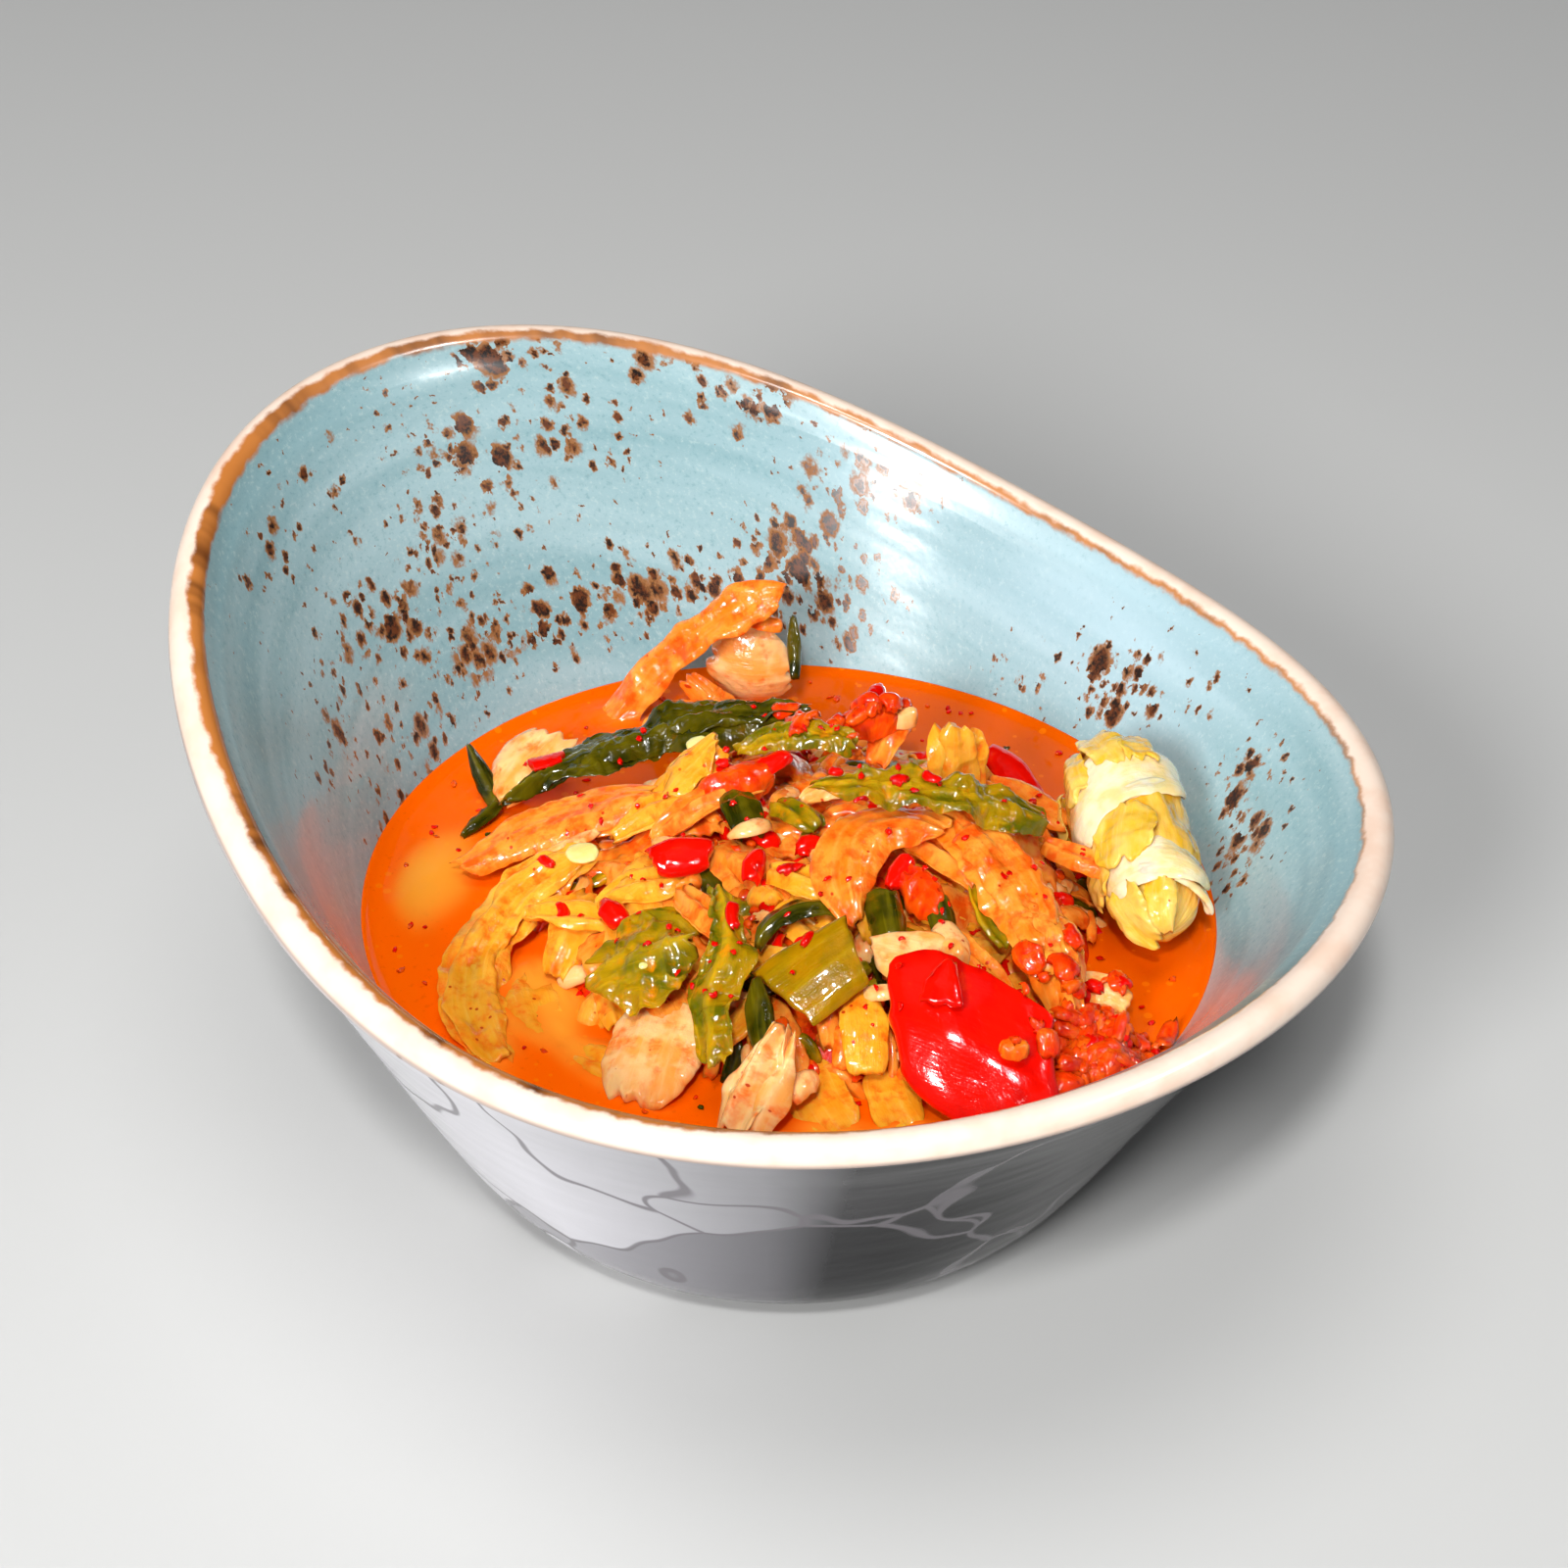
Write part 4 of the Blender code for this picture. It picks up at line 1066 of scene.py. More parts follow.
# %% Green leaves
cut_piece("olive_top_leaf", olive_flesh, "green_leaf", "olive_leaf", (-0.6, 0.8, 0), seed=15, rows=96,
          columns=32, **GREEN, longer=0.8, widths=(3.5, 6, 5.5, 6.5, 6), rounding=0.35)
cut_piece("dark_crinkled_leaf", dark_flesh, "dark_leaf", "dark_leaf", (-1, 0.2, -0.3), seed=21, rows=110,
          columns=34, **{**GREEN, "ruffle": 1.3, "ruffle_size": 4.5, "ragged": 0.24, "wrinkle": 0.4},
          longer=1.0, widths=(3, 5.5, 8.5, 7.5, 9.5, 6.5, 3.5), rounding=0.4, sway=0.9, layers=2)
cut_piece("front_green_leaf", olive_flesh, "green_leaf", "front_leaf", (0.6, 0.8, 0), seed=24, rows=100,
          columns=36, **{**GREEN, "ruffle": 1.7, "ruffle_size": 2.6, "ragged": 0.3},
          widths=(5, 4, 6.5, 4.5, 6.5), twist=50, rounding=0.45, sway=1.4)
cut_piece("front_green_lobe", olive_flesh, "green_leaf", "front_lobe", (0.7, -0.7, 0.3), seed=25, rows=64,
          columns=44, **{**GREEN, "ruffle": 2.2, "ruffle_size": 3.2, "wrinkle": 0.8, "wrinkle_size": 2.4,
                         "ragged": 0.3}, widths=(6, 11, 12, 8), rounding=0.35, sway=0.9)
cut_piece("arc_green_leaf", olive_flesh, "green_leaf", "arc_leaf", (-0.9, 0.4, -0.2), seed=32, rows=80,
          columns=34, **GREEN, widths=(3, 4.5, 5, 4.5, 4), rounding=0.35)
print("large pieces:", len(all_pieces))

# %% [markdown]
# ## The rolled leaf
# The roll is a cabbage leaf wound on itself: crinkled yellow leaf outside, with two thick white ribs that
# cross it at a slant, folds gathered at its back end and a narrower tip in front. Its body is one lumpy
# form round the solid's own axis. The ribs, folds and flaps are real sheets laid round that body, so they
# cast true shadows.

# %% The roll's body
roll_solid = np.array([v.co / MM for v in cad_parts["cabbage_roll"].data.vertices])
roll_middle = (roll_solid.min(0) + roll_solid.max(0)) / 2
roll_axis = np.linalg.svd(roll_solid - roll_solid.mean(0), full_matrices=False)[2][0]
roll_axis = roll_axis if roll_axis[1] < 0 else -roll_axis
roll_reach = np.abs((roll_solid - roll_middle) @ roll_axis).max()
roll_right = unit(np.cross([0, 0, 1], roll_axis))
roll_up = np.cross(roll_axis, roll_right)
ROLL_RADIUS = 6.3
ROLL_BOW = 1.4            # how far the middle bows out to the right
ROLL_RAISED = 0.8


def on_roll(t, a, above=0.0):
    """Points on the roll: t from -1 at the back end to 1 in front, a round it from the right over the top."""
    t, a = np.broadcast_arrays(np.asarray(t, float), np.asarray(a, float))
    taper = np.clip(1 - np.abs(t) ** 3.4, 0, 1) ** 0.5 * (1 - 0.16 * t - 0.10 * t ** 2)
    ring = np.stack([np.cos(a), np.sin(a), 1.6 * t], -1)
    radius = ROLL_RADIUS * taper + taper * 0.8 * noise(ring, 0.8, 42) + above
    spot = roll_middle + roll_axis * (t * roll_reach)[..., None] + roll_up * ROLL_RAISED
    spot = spot + roll_right * (ROLL_BOW * (1 - t ** 2))[..., None]
    return spot + (roll_right * np.cos(a)[..., None] + roll_up * np.sin(a)[..., None]) * radius[..., None]


rows_t = np.sin(np.linspace(-np.pi / 2, np.pi / 2, 100))[:, None]
rows_a = np.linspace(0, 2 * np.pi, 140, endpoint=False)[None, :]
rows_t, rows_a = np.broadcast_arrays(rows_t, rows_a)
roll_ring = np.stack([np.cos(rows_a), np.sin(rows_a), 1.6 * rows_t], -1)
blister = 1 - 2 * np.abs(rough_noise(roll_ring, 0.50, 41))
crinkles = (0.34 * blister + 0.5 * noise(roll_ring, 0.7, 43)) * np.clip(1 - rows_t ** 8, 0, 1)
roll_points = on_roll(rows_t, rows_a, crinkles)
roll_place = np.stack([9 * rows_t, 7 * np.sin(rows_a), 7 * np.cos(rows_a)], -1)
roll_values = {"rib": 0 * blister, "dip": 0.5 - 0.5 * blister, "leaf_place": roll_place}
roll = make_mesh("rolled_leaf", roll_points, grid_faces(*roll_points.shape[:2], close=True), roll_values)
settle(roll, roll_flesh, "yellow_cabbage", "cabbage_roll")
all_pieces.append(roll)
print("roll length, mm:", round(2 * float(roll_reach), 1))


# %% Ribs and flaps round the roll
def wrap_line(t_first, t_last, a_first, a_last, above=0.5, away=0.0, count=13):
    """A line laid round or along the roll; away lifts its last end off."""
    way = np.linspace(0, 1, count)
    a = np.radians(a_first + (a_last - a_first) * way)
    t = t_first + (t_last - t_first) * way
    middle = on_roll(t, a, above + away * way ** 4)
    out = roll_right * np.cos(a)[:, None] + roll_up * np.sin(a)[:, None]
    ahead = unit(np.gradient(middle, axis=0))
    side = unit(np.cross(out, ahead))
    return {"middle": middle, "side": side, "half": np.full(count, 2.0), "crown": np.full(count, 0.5)}


RIB = {"rows": 64, "columns": 22, "thick": 0.9, "ragged": 0.20, "ruffle": 0.3, "wrinkle": 0.08,
       "wrinkle_size": 2.5, "ribs": 0.05, "rib_count": 5, "pleats": 0.10, "pleat_count": 1.5, "sway": 0.4,
       "crowned": 0.3}
FLAP = {"rows": 44, "columns": 22, "thick": 0.6, "ragged": 0.22, "ruffle": 0.7, "ruffle_size": 2.6,
        "wrinkle": 0.35, "wrinkle_size": 2.8, "pleats": 0.2, "pleat_count": 1.2, "ribs": 0.05,
        "rib_count": 3, "sway": 0.5}
wraps = [
    leaf_sheet(wrap_line(-0.14, -0.46, 225, 20, 0.15), 301, widths=(5, 9, 10, 9, 6), rounding=0.5, **RIB),
    leaf_sheet(wrap_line(0.04, -0.24, 205, 60, 0.0), 302, widths=(1.5, 3.2, 3.4, 2), rounding=0.5, **RIB),
    leaf_sheet(wrap_line(0.40, 0.62, 215, 15, 0.1, 1.0), 303, widths=(3.5, 7, 8, 7, 4), rounding=0.5, **RIB),
    leaf_sheet(wrap_line(0.60, 0.78, 120, 0, 0.6, 1.0), 304, widths=(3, 4.5, 4, 2.6), rounding=0.6, **RIB),
]
roll_ribs = join_sheets("roll_white_ribs", wraps)
settle(roll_ribs, rib_flesh, "pale_cabbage")
flaps = [
    leaf_sheet(wrap_line(-0.98, -0.42, 70, 78, 0.5), 311, widths=(4, 5.5, 5), rounding=0.3, **FLAP),
    leaf_sheet(wrap_line(-1.0, -0.40, 112, 105, 0.8), 312, widths=(3.5, 5, 4.5), rounding=0.3, **FLAP),
    leaf_sheet(wrap_line(-0.96, -0.34, 150, 150, 0.5), 313, widths=(3, 5, 5.5), rounding=0.3, **FLAP),
    leaf_sheet(wrap_line(-0.72, -0.30, 195, 215, 0.6, 2.0), 314, widths=(3, 4.5, 3), rounding=0.5, **FLAP),
    leaf_sheet(wrap_line(0.02, 0.46, 110, 130, 0.4), 315, widths=(7, 8.5, 7), rounding=0.25, **FLAP),
    leaf_sheet(wrap_line(0.05, 0.50, 175, 185, 0.4), 316, widths=(6, 7.5, 6), rounding=0.25, **FLAP),
    leaf_sheet(wrap_line(0.62, 1.02, 150, 160, 0.4), 317, widths=(7, 6, 3.5), rounding=0.3, **FLAP),
    leaf_sheet(wrap_line(0.70, 1.0, 95, 110, 0.5), 318, widths=(5, 4.5, 3), rounding=0.3, **FLAP),
]
roll_flaps = join_sheets("roll_leaf_flaps", flaps)
settle(roll_flaps, roll_flesh, "yellow_cabbage")
all_pieces += [roll_ribs, roll_flaps]
print("sheets round the roll:", len(wraps) + len(flaps))

# %% [markdown]
# ## Scraps laid one by one
# What lies between the large pieces is laid one by one, from the diner's seat: a green blade that
# sticks out of the broth, onion greens, a clove, seeds, and thin sheets half sunk in the broth in front.

# %% Scraps
SCRAP = {"rows": 28, "columns": 14, "thick": 0.8, "ragged": 0.16, "ruffle": 0.4, "ruffle_size": 2.5,
         "wrinkle": 0.15, "wrinkle_size": 1.4, "sway": 0.3, "rounding": 0.3}


def scrap(seed, place, heading, length, widths, turn=0, rise=0, hump=0, lean=0, crown=0.5, **look):
    line = arc_line(place, heading, length, (2, 2, 2), turn, rise, hump, lean, crown)
    return leaf_sheet(line, seed, widths=widths, **{**SCRAP, **look})


def scraps(name, finish, *sheets):
    piece = join_sheets(name, sheets)
    all_pieces.append(piece)
    return settle(piece, finish, "kimchi")


# %% Red scraps
scraps(
    "red_scraps", red_skin,
    scrap(401, (-29.5, 17, 7.6), 15, 4.6, (3.4, 4, 3.6), rise=1, lean=-25, thick=1.2, rounding=0.1,
          slant=0.3),
    scrap(402, (31.5, -15, 7), -72, 14, (1.6, 3, 2.6, 1.5), rise=-4, lean=50, thick=1.2),
    scrap(403, (-19.5, -13.5, 8.5), -60, 4, (2, 3.6, 3), hump=1, thick=1.1, crown=1.2),
    scrap(404, (-3.5, -9.5, 12), 80, 4.5, (2.6, 3.4, 2.4), rise=1, lean=30, thick=1.0, crown=1.0),
    scrap(405, (-3, 8.5, 13.5), 20, 7, (2.5, 4, 3.6, 2), rise=1, lean=-20, thick=1.2, crown=1.2),
    scrap(406, (-8, 9.5, 12.5), -30, 5, (2, 3, 2.5), lean=-30, thick=1.0),
    scrap(407, (13, -11, 13), 60, 4, (2, 3, 2), rise=2, thick=0.9),
    scrap(408, (3, -22, 11.5), 35, 3.5, (1.6, 2.6, 1.5), thick=0.9),
    scrap(409, (22, 3, 12.5), -20, 4, (1.6, 2.6, 2), lean=-30, thick=0.9),
    scrap(410, (8, 21, 10.5), 10, 5, (1.6, 2.4, 1.8), rise=1, thick=1.0),
    scrap(411, (31, -28, 4.5), 20, 6, (2.4, 4, 3), rise=-1, hump=0.5, thick=1.4, crown=1.0),
    scrap(412, (27, -33, 4), -40, 5, (2, 3, 2), hump=0.5, thick=1.3, crown=1.0),
    scrap(413, (16, 26, 3), 20, 4, (1.4, 2, 1.4), thick=0.9),
    scrap(414, (17.5, -31.5, 13.4), 75, 5, (5.5, 4, 1.8), rise=2.5, thick=1.2, rounding=0.2),
    scrap(415, (33, -22, 5.0), 10, 6, (2, 3.6, 2.6), hump=0.8, thick=1.2, crown=1.0),
    scrap(416, (37, -27, 3.2), -60, 5, (2, 3.2, 2), hump=0.8, thick=1.2, crown=1.0),
    scrap(417, (10, 19, 16.5), 70, 5, (1.8, 3, 2), rise=1, hump=0.6, thick=1.1, crown=0.9),
)

# %% Green scraps
scraps(
    "dark_green_scraps", dark_flesh,
    scrap(421, (-37.5, 19.5, 3.2), -56, 8, (0.8, 2.4, 2.8, 1.8), rise=-5, lean=25, thick=0.5, midrib=0.3),
    scrap(422, (-37.5, 13.5, 1.0), -125, 7, (2.2, 2.4, 0.9), rise=-1.2, thick=0.5, midrib=0.3),
    scrap(423, (1.5, -17.5, 12), 30, 14, (1.2, 3.4, 3.2, 1.6), turn=-100, hump=1.5, thick=0.5, midrib=0.3),
    scrap(424, (11.3, -17.5, 11.6), -80, 6, (4, 4.4, 4), rise=-2, crown=1.9, thick=0.6, rounding=0.05,
          ribs=0.2),
    scrap(425, (17.6, -17, 11.2), -75, 5, (3.2, 3.6, 3.2), rise=-2, crown=1.6, thick=0.6, rounding=0.05,
          ribs=0.2),
    scrap(426, (0.2, 40, 10), -85, 6, (1.2, 1.8, 1.4), rise=-6, thick=0.5),
    scrap(427, (-5.5, 1.5, 12.6), -70, 8, (3, 4.5, 3.5), rise=-1, hump=1, thick=0.5, midrib=0.3),
    scrap(428, (-2.5, -32, 8.5), -80, 9, (1.4, 3, 3.4, 2), rise=-4, crown=1.0, thick=0.5, ribs=0.2),
    scrap(429, (14.5, 26.5, 1.5), -50, 6, (0.8, 1.8, 1), rise=-2, lean=30, thick=0.5),
)
scraps(
    "olive_scraps", olive_flesh,
    scrap(431, (1, 1, 12.8), -40, 7, (3, 4.5, 3.5), hump=1, thick=0.6, pleats=0.3),
    scrap(432, (23.5, -15.5, 10.5), -60, 8, (2.5, 4, 3), rise=-3, thick=0.6, pleats=0.4),
    scrap(433, (27, 5.5, 10.5), -20, 7, (3, 4.5, 4), rise=-2, thick=0.6, pleats=0.4),
    scrap(434, (-13.5, -16.5, 9.8), 160, 8, (2.5, 4, 3), turn=60, hump=1.0, thick=0.6, pleats=0.3),
)

# %% Lumps of mash
LUMP = {"rows": 36, "columns": 24, "thick": 2.6, "ragged": 0.30, "ruffle": 0.9, "ruffle_size": 2.2,
        "wrinkle": 0.5, "wrinkle_size": 1.9, "rounding": 0.5, "sway": 0.9, "crown": 1.5}
scraps(
    "mash_lumps", mash,
    scrap(521, (32, -30, 1.8), -35, 11, (5, 8, 5), hump=1.2, **LUMP),
    scrap(522, (36, -27, 1.5), -70, 8, (4, 6, 4), hump=1.0, **LUMP),
    scrap(523, (29, -34, 2.0), -20, 9, (4, 6, 4), hump=1.0, **LUMP),
    scrap(524, (37, -31, 0.4), -30, 8, (4, 6, 4), hump=0.8, **LUMP),
    scrap(525, (9, 17, 13.8), 20, 7, (3, 5, 3), hump=1.6, **LUMP),
    scrap(527, (15, -13, 12.0), -50, 7, (3, 4.5, 3), hump=0.6, **LUMP),
    scrap(528, (-6, 6, 12.4), 25, 7, (3, 4.5, 3), hump=0.8, **LUMP),
)

# %% Pale and yellow scraps
scraps(
    "pale_scraps", pale_flesh,
    scrap(441, (18.4, -21.5, 10.5), -80, 7, (3.4, 5.4, 4.2), crown=1.6, thick=2.6, rounding=0.55,
          ragged=0.05),
    scrap(442, (-4, -2.5, 12.8), 20, 5.5, (2, 3.2, 2.4), turn=120, hump=1.5, thick=0.8),
    scrap(443, (-13, -4, 10.8), -30, 7, (1.6, 3, 2), turn=80, hump=1.2, thick=1.0),
    scrap(444, (13.5, 18.5, 14), 10, 3.8, (2.6, 3.2, 2.4), thick=1.8, crown=1.0, rounding=0.5),
    scrap(445, (33.5, -33, 1.0), 20, 4, (2.5, 3.4, 2.6), thick=1.8, crown=1.0, rounding=0.5),
    scrap(446, (-42, 3, -1.1), 80, 19, (5, 9.5, 9, 6), hump=0.5, thick=1.2, rounding=0.6, ruffle=0.2),
    scrap(447, (11, -28, 9), 0, 4.5, (2, 3, 2), turn=60, thick=0.9, hump=0.6),
    scrap(448, (-26, 1.5, 6), -160, 8, (1.5, 3, 2.5), rise=-3, thick=0.9, ribs=0.2),
    scrap(449, (5, 5, 13.2), 30, 8, (2, 4, 3), hump=1, thick=0.7, pleats=0.4),
    scrap(450, (2, -38, 4), 60, 5, (2.4, 3.6, 2.4), hump=1, thick=1.4, crown=1.0),
)
scraps(
    "yellow_scraps", yellow_flesh,
    scrap(461, (4, -37, 0.9), -70, 15, (4, 8, 8, 5), turn=50, rise=-3, hump=1, lean=10, thick=0.6,
          wrinkle=0.4),
    scrap(462, (12, -37, 0.8), -80, 14, (3, 6, 6, 4), turn=60, rise=-3, hump=0.8, thick=0.6, wrinkle=0.4),
    scrap(463, (9, -31, 6.5), -85, 9, (3, 5.5, 5), rise=-5, hump=0.6, thick=0.6, wrinkle=0.4),
    scrap(464, (-25, -10, 5.4), -20, 11, (3, 6, 5), rise=2, hump=1, thick=0.7, pleats=0.5),
    scrap(465, (-16, 3, 10.4), 30, 11, (3, 5.5, 4), rise=2, hump=1, thick=0.7, pleats=0.5),
    scrap(466, (2, -12, 12.5), -30, 9, (3, 6, 4.5), hump=1, thick=0.7, pleats=0.5),
    scrap(467, (-19, -22, 3.4), -80, 9, (3, 5, 4), rise=-3, thick=0.7, pleats=0.4),
    scrap(468, (-27.5, -20, -0.3), 105, 15, (5, 9, 8.5, 5), hump=0.8, lean=8, thick=0.6, ruffle=0.8,
          pleats=0.3),
    scrap(469, (-20, -31, -0.1), -35, 12, (4, 7, 5), hump=0.8, thick=0.6, ruffle=0.7, pleats=0.3),
    scrap(470, (22, 29, 0.0), -30, 10, (3, 5.5, 3.5), hump=0.8, thick=0.6, ruffle=0.6),
    scrap(471, (-24, -12, 4.2), 70, 12, (4, 7, 6), rise=3, hump=1, lean=15, thick=0.7, ruffle=0.8,
          pleats=0.4),
    scrap(472, (-17, -9, 8.4), 20, 10, (3.5, 6.5, 5), rise=2, hump=1, thick=0.7, ruffle=0.7, pleats=0.4),
)
scraps(
    "orange_scraps", orange_flesh,
    scrap(481, (-3.6, 40, 13.4), 10, 4.4, (1.6, 3.2, 2.2), rise=-1, thick=0.9, crown=0.9),
    scrap(482, (25, -38.5, 10.2), 20, 3, (1.8, 2.6, 1.8), thick=1.4, crown=0.8, rounding=0.6, ragged=0.3),
    scrap(483, (3, 15, 13.6), -10, 12, (2, 4.5, 4, 2.5), turn=-40, hump=1.2, thick=0.8, ribs=0.25,
          pleats=0.4),
    scrap(484, (-10, 3, 12), 35, 15, (2, 4.5, 5, 3), turn=-30, rise=2, hump=1, thick=0.8, ribs=0.3,
          pleats=0.5),
    scrap(485, (19, -8, 13), -35, 13, (3, 5.5, 5, 3), turn=-20, rise=-2, hump=1, thick=0.8, ribs=0.3,
          pleats=0.5),
    scrap(486, (22, -24, 9.5), -55, 12, (2.5, 4.5, 4, 3), rise=-4, hump=0.6, thick=0.8, ribs=0.3, pleats=0.5),
    scrap(487, (-9, -17, 10.8), -50, 12, (3, 5, 4), turn=30, hump=1, thick=0.8, ribs=0.3, pleats=0.5),
    scrap(488, (34, -1, 8.5), -20, 9, (2.5, 4.5, 4), rise=-1, thick=0.8, pleats=0.4),
    scrap(489, (33, -25, 4), -50, 9, (2, 4, 3), rise=-2, thick=0.9, pleats=0.4),
    scrap(490, (12, 17, 12), 60, 7, (3, 4.5, 3), rise=2, hump=1, thick=0.8, pleats=0.4),
    scrap(491, (-22, 31, 0.0), 15, 11, (3, 5.5, 4), hump=0.8, thick=0.8, ruffle=0.6),
    scrap(492, (4, 34, 0.2), -12, 11, (3, 5, 4), hump=0.8, thick=0.8, ruffle=0.6),
    scrap(493, (-31, -1, 0.8), 55, 11, (3, 6.5, 5), rise=2, hump=0.8, thick=0.8, ruffle=0.6),
    scrap(494, (-21, 5.5, 7.2), 15, 12, (3, 6, 5), rise=3, hump=0.8, thick=0.9, ribs=0.2),
    scrap(495, (-14, -25, 6.0), -60, 9, (4, 6, 4.5), rise=-3, hump=0.8, thick=0.8, ribs=0.2),
    scrap(496, (29, 12, 7.5), -30, 11, (3, 6, 5), rise=-2, hump=0.8, thick=0.8, ribs=0.2, pleats=0.3),
    scrap(497, (16, -31, 6.5), -30, 9, (3, 5, 4), rise=-2, hump=0.8, thick=0.8, ribs=0.2),
    scrap(498, (-11, 35, 2.6), -12, 13, (4, 7.5, 5.5), turn=-40, rise=-2, hump=2.5, crown=1.4, thick=0.8,
          wrinkle=0.4),
    scrap(499, (-16, 34, 1.6), 60, 9, (3.5, 5, 4), rise=3, hump=1, thick=0.8, wrinkle=0.3),
)
SEED = {"rows": 24, "columns": 20, "thick": 0.9, "rounding": 0.45, "ends": 4, "ragged": 0.03, "ruffle": 0.0,
        "wrinkle": 0.03, "sway": 0.05, "crowned": 0.3}
scraps(
    "chilli_seeds", seed_skin,
    scrap(501, (-23.7, -6, 11.0), 30, 3.8, (2.4, 3.7, 3.8, 2.6), **SEED),
    scrap(502, (21.3, -27.5, 10.2), 10, 3.6, (2.3, 3.4, 3.5, 2.4), lean=-15, **SEED),
    scrap(503, (-11, 15, 12.0), 60, 3.0, (1.8, 2.8, 2.8, 1.8), **SEED),
    scrap(504, (-15.5, -25, 10.0), 70, 3.0, (0.8, 1.5, 1.2, 0.6), **SEED),
)
print("pieces laid:", len(all_pieces))

# %% [markdown]
# ## The broth
# The broth fills the pot up to its level, and reaches just into the wall so that no gap shows. It clings to
# the glaze and to whatever stands in it, so its edges rise a little. Where something lies close under the
# surface the broth is thin over it and looks paler: a ray cast down from each point finds how deep that is.

# %% The broth's surface
food_tree = mesh_tree(core, *all_pieces)
BROTH_ROWS = 90
INTO_WALL = 0.5
SOFTENED = 6              # how often the edges of the shallow parts are smoothed
CLIMB_ON_WALL = 0.7       # how high, and over what distance, the broth climbs the glaze
CLIMB_ON_FOOD = 0.5
SEEN_DOWN_TO = 1.5        # at this depth a piece shows only a third as well


def wall_ring(height, inward_by=0.0):
    """How far the inner wall is from the pot's axis at a height on the table, for each angle."""
    reach = []
    for k in range(TURNS):
        inside = bowl_points[:crest[k] + 1, k]
        across = np.hypot(inside[:, 0], inside[:, 1] - AXIS_Y)
        reach.append(np.interp(height, inside[:, 2], across) - inward_by)
    return np.array(reach)


def ring_at(reach, height):
    """Points round the axis at one height."""
    return np.stack([-reach * np.sin(around), AXIS_Y + reach * np.cos(around), height + 0 * reach], -1)


wall_reach = wall_ring(BROTH_TOP)
out_share = np.linspace(0, 1, BROTH_ROWS) ** 0.75
broth_top = np.array([ring_at(share * (wall_reach + INTO_WALL), BROTH_TOP) for share in out_share])
edge_gap = np.maximum(wall_reach - out_share[:, None] * (wall_reach + INTO_WALL), 0)
climb = CLIMB_ON_WALL * np.exp(-edge_gap / CLIMB_ON_WALL)
broth_top[..., 2] += climb + 0.06 * noise(broth_top, 6.0, 5)
flat_top = broth_top.reshape(-1, 3)
nearness = np.array([food_tree.find_nearest(Vector(p))[3] for p in flat_top])
flat_top[:, 2] += CLIMB_ON_FOOD * np.exp(-nearness / CLIMB_ON_FOOD)
depths = BROTH_TOP - heights_under(mesh_tree(*all_pieces), flat_top[:, :2], start=BROTH_TOP)
depths = np.nan_to_num(np.clip(depths, 0, 40), nan=40)
shallow = np.exp(-depths / SEEN_DOWN_TO).reshape(BROTH_ROWS, TURNS)
for _ in range(SOFTENED):
    padded = np.vstack([shallow[:1], shallow, shallow[-1:]])
    shallow = (shallow + padded[:-2] + padded[2:] + np.roll(shallow, 1, 1) + np.roll(shallow, -1, 1)) / 5
shallow = shallow.ravel()
from_seat_right = (flat_top[:, 0] - flat_top[:, 1] + AXIS_Y) * math.sqrt(0.5)
from_seat_away = (flat_top[:, 0] + flat_top[:, 1] - AXIS_Y) * math.sqrt(0.5)
# Painted shade: the broth is painted darker red towards the right and the back, as seen from the seat.
painted_broth_shade = np.clip(0.45 + (0.7 * from_seat_right + 0.75 * from_seat_away) / 70, 0, 1)

# %% The broth's body
SINK = [(26.0, 0.0), (19.0, 0.0), (12.0, 0.0), (8.5, 1.0)]     # height, how far in from the wall
FLOOR_LEVEL = 7.0
lower = [ring_at(wall_ring(height, inward_by), height) for height, inward_by in SINK]
lower += [ring_at(np.full(TURNS, reach), FLOOR_LEVEL) for reach in (20.0, 0.0)]
broth_points = np.concatenate([flat_top.reshape(broth_top.shape), np.array(lower)])
unseen = np.zeros(len(lower) * TURNS)
broth_values = {"shallow": np.concatenate([shallow, unseen]), "painted_broth_shade": np.concatenate([painted_broth_shade, unseen]),
                "leaf_place": broth_points}
broth = make_mesh("red_broth", broth_points, grid_faces(len(broth_points), TURNS, close=True), broth_values)
print("broth, mm across:", np.round(np.ptp(broth_points[..., 0]), 1))
print("shallow share:", round(float((shallow > 0.3).mean()), 2))

# %% The broth's finish
broth_finish, tree, shader = new_finish("red_broth")
place = vector_of(tree, "leaf_place")
swirls = calc(tree, "SUBTRACT", cloud(tree, place, 14.0, 2.0, 0.5), 0.5)
# Painted shade: the deep colour turns darker red where the painted shade is strong.
drift = calc(tree, "ADD", value_of(tree, "painted_broth_shade"), swirls)
deep = mix(tree, step(tree, drift, 0.05, 1.0), (1.0, 0.120, 0.0002), (0.70, 0.090, 0.0002))
specked = cloud(tree, place, 0.9, 2.0, 0.7)
deep = mix(tree, calc(tree, "MULTIPLY", step(tree, specked, 0.60, 0.72), 0.2), deep, (0.55, 0.03, 0.0005))
beads = node(tree, "TexVoronoi", {"Vector": place, "Scale": 0.45})
bead_lot = node(tree, "SeparateColor", {"Color": beads.outputs["Color"]}).outputs["Red"]
bead_size = calc(tree, "MULTIPLY", bead_lot, 0.22)
bead = step(tree, calc(tree, "SUBTRACT", beads.outputs["Distance"], bead_size), 0.03, 0.0)
deep = mix(tree, calc(tree, "MULTIPLY", bead, 0.35), deep, (0.98, 0.26, 0.004))
thin_over = calc(tree, "POWER", value_of(tree, "shallow"), 1.2)
broth_colour = mix(tree, thin_over, deep, (0.95, 0.36, 0.03))
